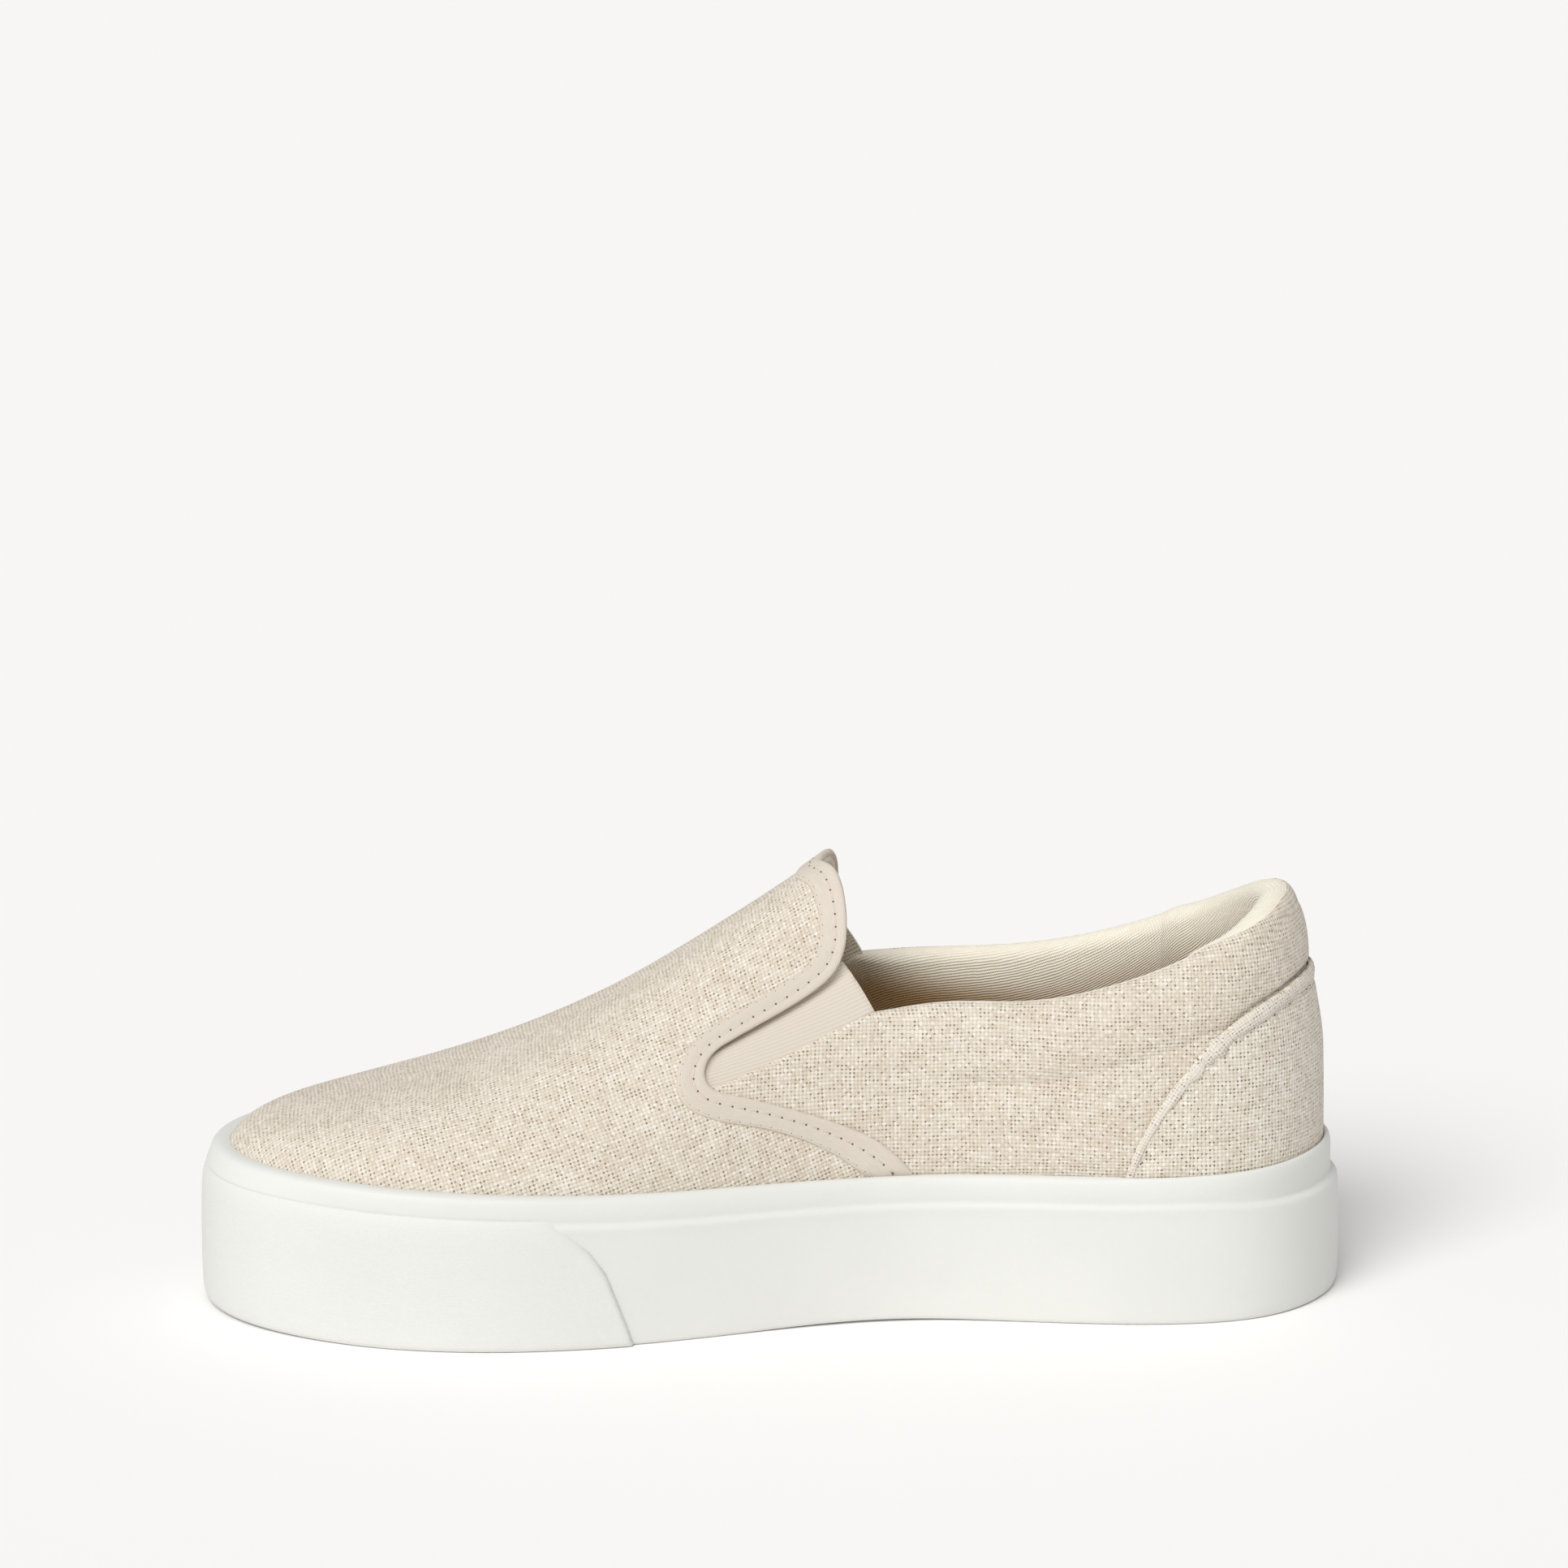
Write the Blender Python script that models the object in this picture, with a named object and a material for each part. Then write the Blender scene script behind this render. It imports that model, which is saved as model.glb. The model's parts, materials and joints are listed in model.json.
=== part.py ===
"""A slip-on canvas sneaker on a platform sole, right foot, as separate closed solids.

The toe points along +X, the inner (medial) side is +Y, and the shoe stands on z = 0. Sizes are
millimetres here and become metres where a mesh is made. Every piece above the sole is read from
one last: a form unrolled round its ridge, where u runs along the shoe and v from the ridge down
either side to the feather edge, where the upper meets the sole.
"""
import math
from collections import namedtuple

import bpy
import numpy as np

MM = 0.001
GAP = 0.3
WRAP_GAP = 0.45

# The sole's outline from above: the widest line of its side, clockwise from the heel.
OutlinePoint = namedtuple("OutlinePoint", "x y")
OUTLINE = (
    OutlinePoint(-137.1, 2.0),
    OutlinePoint(-131.0, 20.0),
    OutlinePoint(-116.0, 33.5),
    OutlinePoint(-94.0, 38.0),
    OutlinePoint(-66.0, 35.5),
    OutlinePoint(-36.0, 32.3),
    OutlinePoint(-2.0, 37.2),
    OutlinePoint(30.0, 46.0),
    OutlinePoint(62.0, 50.0),
    OutlinePoint(92.0, 46.3),
    OutlinePoint(116.0, 35.0),
    OutlinePoint(130.5, 20.5),
    OutlinePoint(135.6, 4.0),
    OutlinePoint(131.5, -13.0),
    OutlinePoint(115.0, -31.0),
    OutlinePoint(82.0, -45.0),
    OutlinePoint(44.0, -50.0),
    OutlinePoint(4.0, -46.0),
    OutlinePoint(-36.0, -40.0),
    OutlinePoint(-74.0, -37.5),
    OutlinePoint(-106.0, -34.0),
    OutlinePoint(-128.0, -20.0),
)

# Cross-sections of the last: the height of its closed top, how far the ridge drifts to the inner
# side, and how full the section is at its side and at its crown.
Section = namedtuple("Section", "x top drift side crown")
SECTIONS = (
    Section(-133.0, 158.0, 0.0, 2.6, 2.0),
    Section(-100.0, 158.0, 0.5, 2.6, 2.0),
    Section(-60.0, 146.0, 1.0, 2.5, 2.0),
    Section(-20.0, 112.6, 3.0, 2.1, 2.0),
    Section(10.0, 91.5, 5.0, 1.9, 2.0),
    Section(40.0, 73.0, 6.0, 2.0, 2.1),
    Section(70.0, 59.8, 6.0, 2.3, 2.4),
    Section(100.0, 51.2, 5.0, 2.8, 2.8),
    Section(133.0, 48.4, 4.0, 4.0, 3.1),
)
HEEL_CENTRE = -98.0
TOE_CENTRE = 88.0
GIRTH = 75.0
TOE_GIRTH = 52.0
# The heel leans forward towards its top: a first lean over the counter, then one at the collar.
Lean = namedtuple("Lean", "depth start end")
COUNTER_LEAN = Lean(1.2, 62.0, 78.0)
COLLAR_LEAN = Lean(2.2, 86.0, 94.75)

# The sole: its bed, its outer band, and the top edge of the band along the shoe.
BED_Z = 27.0
BAND = 4.0
BAND_LIFT = 0.3
# How far the band's wall swells past the outline at the heel and at the toe.
Flare = namedtuple("Flare", "depth start end")
HEEL_FLARE = Flare(0.9, -96.0, -134.0)
TOE_FLARE = Flare(0.7, 100.0, 132.0)
BandTop = namedtuple("BandTop", "x z")
BAND_TOPS = (
    BandTop(-137.0, 37.2),
    BandTop(-100.0, 36.2),
    BandTop(-40.0, 35.2),
    BandTop(10.0, 35.6),
    BandTop(60.0, 37.0),
    BandTop(104.0, 38.9),
    BandTop(136.0, 40.0),
)
TOE_SPRING, SPRING_START = 2.2, 92.0
ARCH_LIFT, ARCH_FROM, ARCH_TO = 0.5, -62.0, 18.0
GROOVE_DEPTH, GROOVE_WIDTH, GROOVE_PITCH = 1.6, 2.4, 8.5
GROOVE_SLOPE = 0.4
GrooveField = namedtuple("GrooveField", "start end")
GROOVE_FIELDS = (GrooveField(-119.0, -68.0), GrooveField(28.0, 104.0))
INSOLE_TOP = 30.2
INSOLE_INSET = 6.6

# The toe bumper: its thickness, and where its back edge runs between the floor and its top.
BumperPoint = namedtuple("BumperPoint", "inward share shift")
BUMPER_PROFILE = (
    BumperPoint(-0.3, 0.0, 0.3),
    BumperPoint(-0.3, 0.4, 0.0),
    BumperPoint(-0.3, 1.0, -8.5),
    BumperPoint(0.2, 1.0, -6.95),
    BumperPoint(1.45, 1.0, -6.25),
    BumperPoint(1.5, 1.0, -5.6),
    BumperPoint(0.8, 1.0, -5.1),
    BumperPoint(-0.5, 1.0, -5.3),
    BumperPoint(-1.3, 1.0, -6.2),
    BumperPoint(-1.5, 1.0, -7.6),
    BumperPoint(-1.5, 0.4, 0.0),
    BumperPoint(-1.5, 0.0, 1.4),
    BumperPoint(-1.0, 0.0, 0.3),
)
BumperEdge = namedtuple("BumperEdge", "z x")
BUMPER_EDGES = (
    BumperEdge(0.0, 35.0),
    BumperEdge(12.6, 39.8),
    BumperEdge(23.2, 45.2),
    BumperEdge(29.0, 48.8),
    BumperEdge(31.8, 53.0),
)

# The opening's edge on the unrolled last, from the tongue's end to the back of the heel, with the
# wall's thickness there; foot, the place on the feather edge that each column of the wall comes
# from; and dip, how much further down the outer side is. Past the toe and heel centres foot goes
# on round the end.
WALL = 2.0
Rib = namedtuple("Rib", "u v wall foot dip")
TONGUE_RIBS = (
    Rib(-12.0, 0.0, 3.2, 182.2, 0.0),
    Rib(-13.0, 5.0, 3.2, 160.0, 0.0),
    Rib(-15.0, 11.5, 3.2, 138.0, 0.0),
    Rib(-16.4, 19.0, 3.2, 115.0, 0.0),
    Rib(-17.2, 27.0, 3.0, 92.0, 0.0),
    Rib(-17.0, 33.0, 2.8, 72.0, 0.0),
    Rib(-15.8, 37.4, 2.4, 54.0, 0.0),
)
GORE_TOP_RIBS = (
    Rib(-15.8, 37.4, 2.4, 54.0, 0.0),
    Rib(-22.4, 49.6, 3.2, 2.0, 0.0),
)
COLLAR_RIBS = (
    Rib(-22.4, 49.6, 3.2, 2.0, 0.0),
    Rib(-29.0, 52.2, 5.5, -18.0, 0.0),
    Rib(-39.0, 55.2, 7.0, -38.0, 0.006),
    Rib(-57.0, 59.4, 7.5, -57.0, 0.006),
    Rib(-76.0, 60.3, 7.8, -76.0, 0.014),
    Rib(-96.0, 58.6, 8.4, -96.0, 0.024),
    Rib(-116.2, 53.9, 9.0, -122.4, 0.03),
    Rib(-134.6, 41.9, 9.4, -151.9, 0.026),
    Rib(-147.6, 22.3, 9.6, -184.0, 0.012),
    Rib(-152.1, 0.0, 9.6, -215.8, 0.0),
)
PADDING_DEPTH = 24.0
SHORT_RIB, LONG_RIB = 40.0, 160.0

# Panels on the unrolled last.
GORE_TOP_V, GORE_FOOT_V = 39.4, 48.6
GORE_FRONT_U = 16.2
GORE_BACK_U, GORE_SLANT = -17.0, 0.55
GORE_SUNK, GORE_THICK = 0.8, 1.3
TAPE_WIDTH, TAPE_THICK = 6.0, 0.9
TapePoint = namedtuple("TapePoint", "u v")
TAPE = (
    TapePoint(19.2, 46.2),
    TapePoint(16.0, 50.4),
    TapePoint(8.8, 54.2),
    TapePoint(1.4, 57.4),
    TapePoint(-11.3, 63.1),
    TapePoint(-18.2, 66.4),
    TapePoint(-24.4, 70.0),
    TapePoint(-30.0, 75.0),
)
COUNTER_THICK = 1.2
CounterTop = namedtuple("CounterTop", "foot z")
COUNTER_TOPS = (
    CounterTop(-86.3, 38.4),
    CounterTop(-87.4, 45.6),
    CounterTop(-92.8, 55.9),
    CounterTop(-97.4, 61.6),
    CounterTop(-109.5, 68.2),
    CounterTop(-132.0, 74.8),
    CounterTop(-158.0, 78.0),
    CounterTop(-184.5, 80.0),
    CounterTop(-215.8, 79.8),
)

Finish = namedtuple("Finish", "colour roughness")
CANVAS = Finish((0.66, 0.60, 0.51), 0.95)
TAPE_CLOTH = Finish((0.70, 0.62, 0.52), 0.85)
ELASTIC = Finish((0.62, 0.53, 0.45), 0.9)
WHITE_RUBBER = Finish((0.82, 0.82, 0.79), 0.45)
LINING = Finish((0.76, 0.68, 0.56), 0.9)


def spline(places, values):
    """Natural cubic curve through the values at rising places; past its ends the end values stay."""
    places, values = np.asarray(places, float), np.asarray(values, float)
    count, step = len(places), np.diff(places)
    matrix, right = np.eye(count), np.zeros_like(values)
    slope = np.diff(values, axis=0) / step.reshape((-1,) + (1,) * (values.ndim - 1))
    for i in range(1, count - 1):
        matrix[i, i - 1:i + 2] = step[i - 1], 2 * (step[i - 1] + step[i]), step[i]
        right[i] = 6 * (slope[i] - slope[i - 1])
    bend = np.linalg.solve(matrix, right)

    def at(place):
        place = np.clip(np.asarray(place, float), places[0], places[-1])
        i = np.clip(np.searchsorted(places, place) - 1, 0, count - 2)
        width = step[i]
        before, after = place - places[i], places[i + 1] - place
        if values.ndim > 1:
            width, before, after = width[..., None], before[..., None], after[..., None]
        curved = (bend[i] * after ** 3 + bend[i + 1] * before ** 3) / (6 * width)
        from_left = (values[i] / width - bend[i] * width / 6) * after
        from_right = (values[i + 1] / width - bend[i + 1] * width / 6) * before
        return curved + from_left + from_right
    return at


def table(rows, reverse=False):
    """The curve of every later column of a table over its first column."""
    rows = np.array(rows[::-1] if reverse else rows, float)
    columns = rows[:, 1:] if rows.shape[1] > 2 else rows[:, 1]
    return spline(rows[:, 0], columns)


def evened(points, count, closed=False):
    """The smooth line through the points, as places evenly spaced along it."""
    points = np.array(points, float)
    wrap = 4 if closed else 0
    line = np.concatenate([points[-wrap:], points, points[:wrap + 1]]) if closed else points
    along = np.concatenate([[0], np.cumsum(np.linalg.norm(np.diff(line, axis=0), axis=1))])
    end = along[wrap + len(points)] if closed else along[-1]
    dense = spline(along, line)(np.linspace(along[wrap], end, 8 * count + 1))
    walked = np.concatenate([[0], np.cumsum(np.linalg.norm(np.diff(dense, axis=0), axis=1))])
    even = np.linspace(0, walked[-1], count, endpoint=not closed)
    return np.stack([np.interp(even, walked, dense[:, k]) for k in range(dense.shape[1])], axis=1)


def inset(loop, distance):
    """The clockwise loop moved inwards by the distance."""
    along = np.roll(loop, -1, axis=0) - np.roll(loop, 1, axis=0)
    along /= np.linalg.norm(along, axis=1)[:, None]
    inward = np.stack([along[:, 1], -along[:, 0]], axis=1)
    return loop + inward * np.reshape(distance, (-1, 1))


def eased(value, start, end):
    """A smooth step from 0 at the start to 1 at the end."""
    share = np.clip((np.asarray(value, float) - start) / (end - start), 0, 1)
    return share * share * (3 - 2 * share)


def heel_lean(z):
    """How far the back of the heel is drawn in at a height."""
    collar = np.clip((z - COLLAR_LEAN.start) / (COLLAR_LEAN.end - COLLAR_LEAN.start), 0, 1.2)
    return COUNTER_LEAN.depth * eased(z, COUNTER_LEAN.start, COUNTER_LEAN.end) + COLLAR_LEAN.depth * collar ** 2


class Last:
    """The form that the upper is pulled over, given by its outer face."""

    def __init__(self):
        self.outline = evened(OUTLINE, 720, closed=True)
        self.section = table(SECTIONS)
        feather = inset(self.outline, BAND)
        drift = self.section(feather[:, 0])[:, 1]
        self.half = {}
        for side in (1, -1):
            mine = (feather[:, 1] - drift) * side > 0
            order = np.argsort(feather[mine, 0])
            self.half[side] = feather[mine, 0][order], feather[mine, 1][order]
        self.fan = {}
        for way, centre in ((1, TOE_CENTRE), (-1, HEEL_CENTRE)):
            arm = feather - (centre, self.section(centre)[1])
            mine = arm[:, 0] * way >= -3
            turn = np.arctan2(arm[mine, 1], arm[mine, 0] * way)
            order = np.argsort(turn)
            self.fan[way] = turn[order], np.hypot(*arm[mine].T)[order]

    def rays(self, u, v):
        """For unrolled places: the ridge point, the way out from it, its reach, the share walked."""
        u, v = np.broadcast_arrays(np.asarray(u, float), np.asarray(v, float))
        ridge_x = np.clip(u, HEEL_CENTRE, TOE_CENTRE)
        ridge_y = self.section(ridge_x)[..., 1]
        inner = np.interp(ridge_x, *self.half[1]) - ridge_y
        outer = ridge_y - np.interp(ridge_x, *self.half[-1])
        reach = np.where(v >= 0, inner, outer)
        way_x, way_y = np.zeros_like(reach), np.where(v >= 0, 1.0, -1.0)
        share = np.abs(v) / GIRTH
        for way, girth in ((1, TOE_GIRTH), (-1, GIRTH)):
            past = (u - ridge_x) * way
            here = past > 0
            turn = np.arctan2(v[here], past[here])
            reach[here] = np.interp(turn, *self.fan[way])
            way_x[here], way_y[here] = np.cos(turn) * way, np.sin(turn)
            full = GIRTH * np.sin(turn) ** 2 + girth * np.cos(turn) ** 2
            share[here] = np.hypot(past[here], v[here]) / full
        return ridge_x, ridge_y, way_x, way_y, reach, np.clip(share, 0, 1)

    def face(self, u, v):
        """Places on the outer face."""
        ridge_x, ridge_y, way_x, way_y, reach, share = self.rays(u, v)
        rows = self.section(ridge_x + way_x * reach)
        lift = (1 - share) * math.pi / 2
        walked = reach * np.cos(lift) ** (2 / rows[..., 3])
        x = ridge_x + way_x * walked
        z = BED_Z + (self.section(x)[..., 0] - BED_Z) * np.sin(lift) ** (2 / rows[..., 2])
        walked = walked - heel_lean(z) * np.clip(-way_x, 0, 1) ** 2
        return np.stack([ridge_x + way_x * walked, ridge_y + way_y * walked, z], axis=-1)

    def skin(self, u, v, out):
        """Places at a distance outside the outer face, or inside it where out is negative."""
        u, v, out = np.broadcast_arrays(np.asarray(u, float), np.asarray(v, float), out)
        step = 0.4
        along = self.face(u + step, v) - self.face(u - step, v)
        across = self.face(u, v + step) - self.face(u, v - step)
        way = np.cross(along, across)
        way /= np.maximum(np.linalg.norm(way, axis=-1, keepdims=True), 1e-9)
        return self.face(u, v) + way * out[..., None]

    @staticmethod
    def foot(place, side):
        """The unrolled place on the feather edge, from its place along the edge and its side."""
        place = np.asarray(place, float)
        u, v = np.clip(place, HEEL_CENTRE, TOE_CENTRE), np.full(place.shape, GIRTH)
        for way, centre, girth, quarter in ((1, TOE_CENTRE, TOE_GIRTH, 60.0), (-1, HEEL_CENTRE, GIRTH, 75.0)):
            past = (place - centre) * way
            here = past > 0
            turn = math.pi / 2 - past[here] / quarter
            full = GIRTH * np.sin(turn) ** 2 + girth * np.cos(turn) ** 2
            u[here] = centre + way * full * np.cos(turn)
            v[here] = full * np.sin(turn)
        return u, v * side

    def at_height(self, place, side, z):
        """Unrolled places straight above the feather edge at the heights z."""
        foot_u, foot_v = self.foot(place, side)
        ridge_x = np.clip(foot_u, HEEL_CENTRE, TOE_CENTRE)
        low, high = np.zeros_like(foot_u), np.ones_like(foot_u)
        for _ in range(24):
            share = (low + high) / 2
            above = self.face(ridge_x + (foot_u - ridge_x) * share, foot_v * share)[..., 2] > z
            low, high = np.where(above, share, low), np.where(above, high, share)
        return ridge_x + (foot_u - ridge_x) * share, foot_v * share

    def place_of(self, x, y):
        """The place along the feather edge, and its side, that faces a point of the outline."""
        side = np.where(y >= self.section(x)[..., 1], 1.0, -1.0)
        place = np.array(x, float)
        for way, centre, quarter in ((1, TOE_CENTRE, 60.0), (-1, HEEL_CENTRE, 75.0)):
            past = (x - centre) * way
            here = past > 0
            turn = np.arctan2(np.abs(y - self.section(centre)[1])[here], past[here])
            place[here] = centre + way * quarter * (math.pi / 2 - turn)
        return place, side


LAST = Last()
band_top = table(BAND_TOPS)


def floor_lift(x):
    """How far the sole's underside is off the floor: the toe spring and the waist."""
    spring = np.clip((x - SPRING_START) / (OUTLINE[12].x - SPRING_START), 0, 1)
    waist = np.clip((x - ARCH_FROM) / (ARCH_TO - ARCH_FROM), 0, 1)
    return TOE_SPRING * spring ** 2 + ARCH_LIFT * np.sin(waist * math.pi) ** 2


def material(name, finish):
    """A Principled material of the finish."""
    made = bpy.data.materials.new(name)
    made.use_nodes = True
    shader = made.node_tree.nodes["Principled BSDF"]
    shader.inputs["Base Color"].default_value = (*finish.colour, 1.0)
    shader.inputs["Roughness"].default_value = finish.roughness
    shader.inputs["Metallic"].default_value = 0.0
    return made


def solid(name, points, faces, finish):
    """A closed, smooth-shaded object from points in millimetres."""
    mesh = bpy.data.meshes.new(name)
    mesh.from_pydata((np.asarray(points).reshape(-1, 3) * MM).tolist(), [], faces)
    mesh.validate()
    mesh.shade_smooth()
    mesh.set_sharp_from_angle(angle=math.radians(40))
    made = bpy.data.objects.new(name, mesh)
    made.data.materials.append(material(name + "_finish", finish))
    bpy.context.collection.objects.link(made)
    return made


def ring_faces(stations, around, closed):
    """Quads of a skin with a closed loop of points at each station, capped where it is open."""
    faces = []
    for i in range(stations if closed else stations - 1):
        j = (i + 1) % stations
        for k in range(around):
            m = (k + 1) % around
            faces.append((i * around + k, j * around + k, j * around + m, i * around + m))
    if not closed:
        faces.append(tuple(range(around)))
        faces.append(tuple((stations - 1) * around + k for k in reversed(range(around))))
    return faces


def flipped(faces):
    """The same faces, pointing the other way."""
    return [tuple(reversed(face)) for face in faces]


def slab(name, inside, outside, finish):
    """A panel between two grids of places: its two faces and its rim."""
    rows, columns = inside.shape[:2]
    faces = []
    for i in range(rows - 1):
        for j in range(columns - 1):
            a, b = i * columns + j, (i + 1) * columns + j
            faces.append((a, a + 1, b + 1, b))
    rim = [(0, j) for j in range(columns)] + [(i, columns - 1) for i in range(1, rows)]
    rim += [(rows - 1, j) for j in range(columns - 2, -1, -1)] + [(i, 0) for i in range(rows - 2, 0, -1)]
    rim = [i * columns + j for i, j in rim]
    shift = rows * columns
    faces += [tuple(k + shift for k in reversed(face)) for face in faces]
    for a, b in zip(rim, rim[1:] + rim[:1]):
        faces.append((b, a, a + shift, b + shift))
    return solid(name, np.concatenate([inside.reshape(-1, 3), outside.reshape(-1, 3)]), faces, finish)


def half_width(x, inward):
    """The y of both sides of the outline moved inwards, at each x."""
    loop = inset(LAST.outline, inward)
    ridge = LAST.section(loop[:, 0])[:, 1]
    sides = []
    for side in (-1, 1):
        mine = (loop[:, 1] - ridge) * side > 0
        order = np.argsort(loop[mine, 0])
        sides.append(np.interp(x, loop[mine, 0][order], loop[mine, 1][order]))
    return sides


def sole_block(name, inward, stations, bottom, top, finish):
    """A block that fills the outline: sections across the shoe at the stations along it."""
    low, high = half_width(stations, inward)
    shares = (0.0, 0.5, 1.0)
    points = []
    for share in shares:
        points.append(np.stack([stations, low + (high - low) * share, bottom], axis=1))
    for share in reversed(shares):
        points.append(np.stack([stations, low + (high - low) * share, top], axis=1))
    points = np.stack(points, axis=1)
    return solid(name, points, flipped(ring_faces(len(stations), points.shape[1], False)), finish)


def rounded_stations(start, end, count):
    """Places from start to end, closer together at both ends, where an outline turns."""
    return (start + end) / 2 - (end - start) / 2 * np.cos(np.linspace(0, math.pi, count))


def make_outsole():
    """The rubber block inside the band, with its bed above and grooves across its tread."""
    tip = 0.06
    ends = inset(LAST.outline, BAND)[:, 0]
    plain = rounded_stations(ends.min() + tip, ends.max() - tip, 34)
    stations, depth = list(plain), [0.0] * len(plain)
    for field in GROOVE_FIELDS:
        for middle in np.arange(field.start, field.end, GROOVE_PITCH):
            half = GROOVE_WIDTH / 2
            near = [k for k, x in enumerate(stations) if abs(x - middle) < half + 1 and depth[k] == 0]
            for k in reversed(near):
                del stations[k], depth[k]
            stations += [middle - half, middle - half + GROOVE_SLOPE, middle + half - GROOVE_SLOPE, middle + half]
            depth += [0.0, GROOVE_DEPTH, GROOVE_DEPTH, 0.0]
    order = np.argsort(stations)
    stations, depth = np.array(stations)[order], np.array(depth)[order]
    bottom = floor_lift(stations) + depth
    return sole_block("outsole", BAND, stations, bottom, np.full_like(bottom, BED_Z - GAP), WHITE_RUBBER)


def make_insole():
    """The footbed, inside the wall of the upper."""
    tip = 0.06
    ends = inset(LAST.outline, INSOLE_INSET)[:, 0]
    stations = rounded_stations(ends.min() + tip, ends.max() - tip, 44)
    bottom, top = np.full_like(stations, BED_Z), np.full_like(stations, INSOLE_TOP)
    return sole_block("insole", INSOLE_INSET, stations, bottom, top, LINING)


def sole_side(station, out, z):
    """Places on the sole's side: by the station round the outline, how far in, and the height."""
    loop = LAST.outline
    along = np.roll(loop, -1, axis=0) - np.roll(loop, 1, axis=0)
    along /= np.linalg.norm(along, axis=1)[:, None]
    count = len(loop)
    low = np.floor(station).astype(int)
    part = (station - low)[..., None]
    here = loop[low % count] * (1 - part) + loop[(low + 1) % count] * part
    way = along[low % count] * (1 - part) + along[(low + 1) % count] * part
    inward = np.stack([way[..., 1], -way[..., 0]], axis=-1)
    swell = sum(flare.depth * eased(here[..., 0], flare.start, flare.end) for flare in (HEEL_FLARE, TOE_FLARE))
    outer = 1 - eased(out, 2.0, BAND - WRAP_GAP)
    here = here + inward * (np.asarray(out) - swell * outer)[..., None]
    return np.concatenate([here, np.broadcast_to(z, here.shape[:-1])[..., None]], axis=-1)


def make_foxing():
    """The band round the sole: a lower strip with a shoulder, a thinner strip above it."""
    count = 96
    station = np.arange(count) * (len(LAST.outline) / count)
    rim = sole_side(station, np.zeros(count), 0.0)
    top, floor = band_top(rim[:, 0]), floor_lift(rim[:, 0]) + BAND_LIFT
    feather = sole_side(station, np.full(count, BAND), 0.0)
    place, side = LAST.place_of(feather[:, 0], feather[:, 1])
    profile = [
        (1.5, floor), (0.6, floor + 1.0), (0.0, top - 8.4), (0.5, top - 7.2), (1.7, top - 6.6),
        (1.9, top - 5.4), (1.8, top - 1.4),
    ]
    points = [sole_side(station, np.full(count, inward), z) for inward, z in profile]
    for out, drop in ((WRAP_GAP + 0.9, 0.1), (WRAP_GAP, 0.6), (WRAP_GAP, 4.5)):
        u, v = LAST.at_height(place, side, top - drop)
        edge = LAST.skin(u, v, out)
        edge[:, 2] = top - drop
        points.append(edge)
    for inward, z in ((BAND - WRAP_GAP, np.full(count, BED_Z)), (BAND - WRAP_GAP, floor)):
        points.append(sole_side(station, np.full(count, inward), z))
    points = np.stack(points, axis=1)
    return solid("foxing", points, flipped(ring_faces(count, points.shape[1], True)), WHITE_RUBBER)


def make_toe_bumper():
    """The rubber strip wrapped round the toe, over the band's shoulder."""
    count = 41
    loop = LAST.outline
    tip = int(np.argmax(loop[:, 0]))
    edge_x = table(BUMPER_EDGES)
    reach = np.linspace(-1, 1, count)
    points = []
    for inward, share, shift in BUMPER_PROFILE:
        back = float(edge_x(band_top(BUMPER_EDGES[-1].x) * share + shift))
        behind = loop[:, 0] > back
        lateral = np.argmax(~behind[tip:])
        medial = np.argmax(~behind[tip::-1])
        station = tip + np.where(reach < 0, reach * medial, reach * lateral)
        x = sole_side(station, np.zeros(count), 0.0)[:, 0]
        floor, top = floor_lift(x) + BAND_LIFT, band_top(x)
        thin = np.clip((1 - np.abs(reach)) * count / 2, 0.35, 1.0) if inward < -GAP else 1.0
        points.append(sole_side(station, inward * thin, floor + (top - floor) * share + shift))
    points = np.stack(points, axis=1)
    return solid("toe_bumper", points, ring_faces(count, points.shape[1], False), WHITE_RUBBER)


def opening():
    """The ribs of the upper all round: the opening's edge, the wall there and the foot of each."""
    parts = []
    for ribs, count in ((TONGUE_RIBS, 17), (GORE_TOP_RIBS, 5), (COLLAR_RIBS, 26)):
        parts.append(evened(ribs, count)[:-1])
    medial = np.concatenate(parts + [np.array([COLLAR_RIBS[-1]])])
    lateral = medial[-2:0:-1].copy()
    ridge = np.clip(lateral[:, 0], HEEL_CENTRE, TOE_CENTRE)
    lateral[:, 0] = ridge + (lateral[:, 0] - ridge) * (1 + lateral[:, 4])
    lateral[:, 1] *= -1 - lateral[:, 4]
    return medial, lateral


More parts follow.
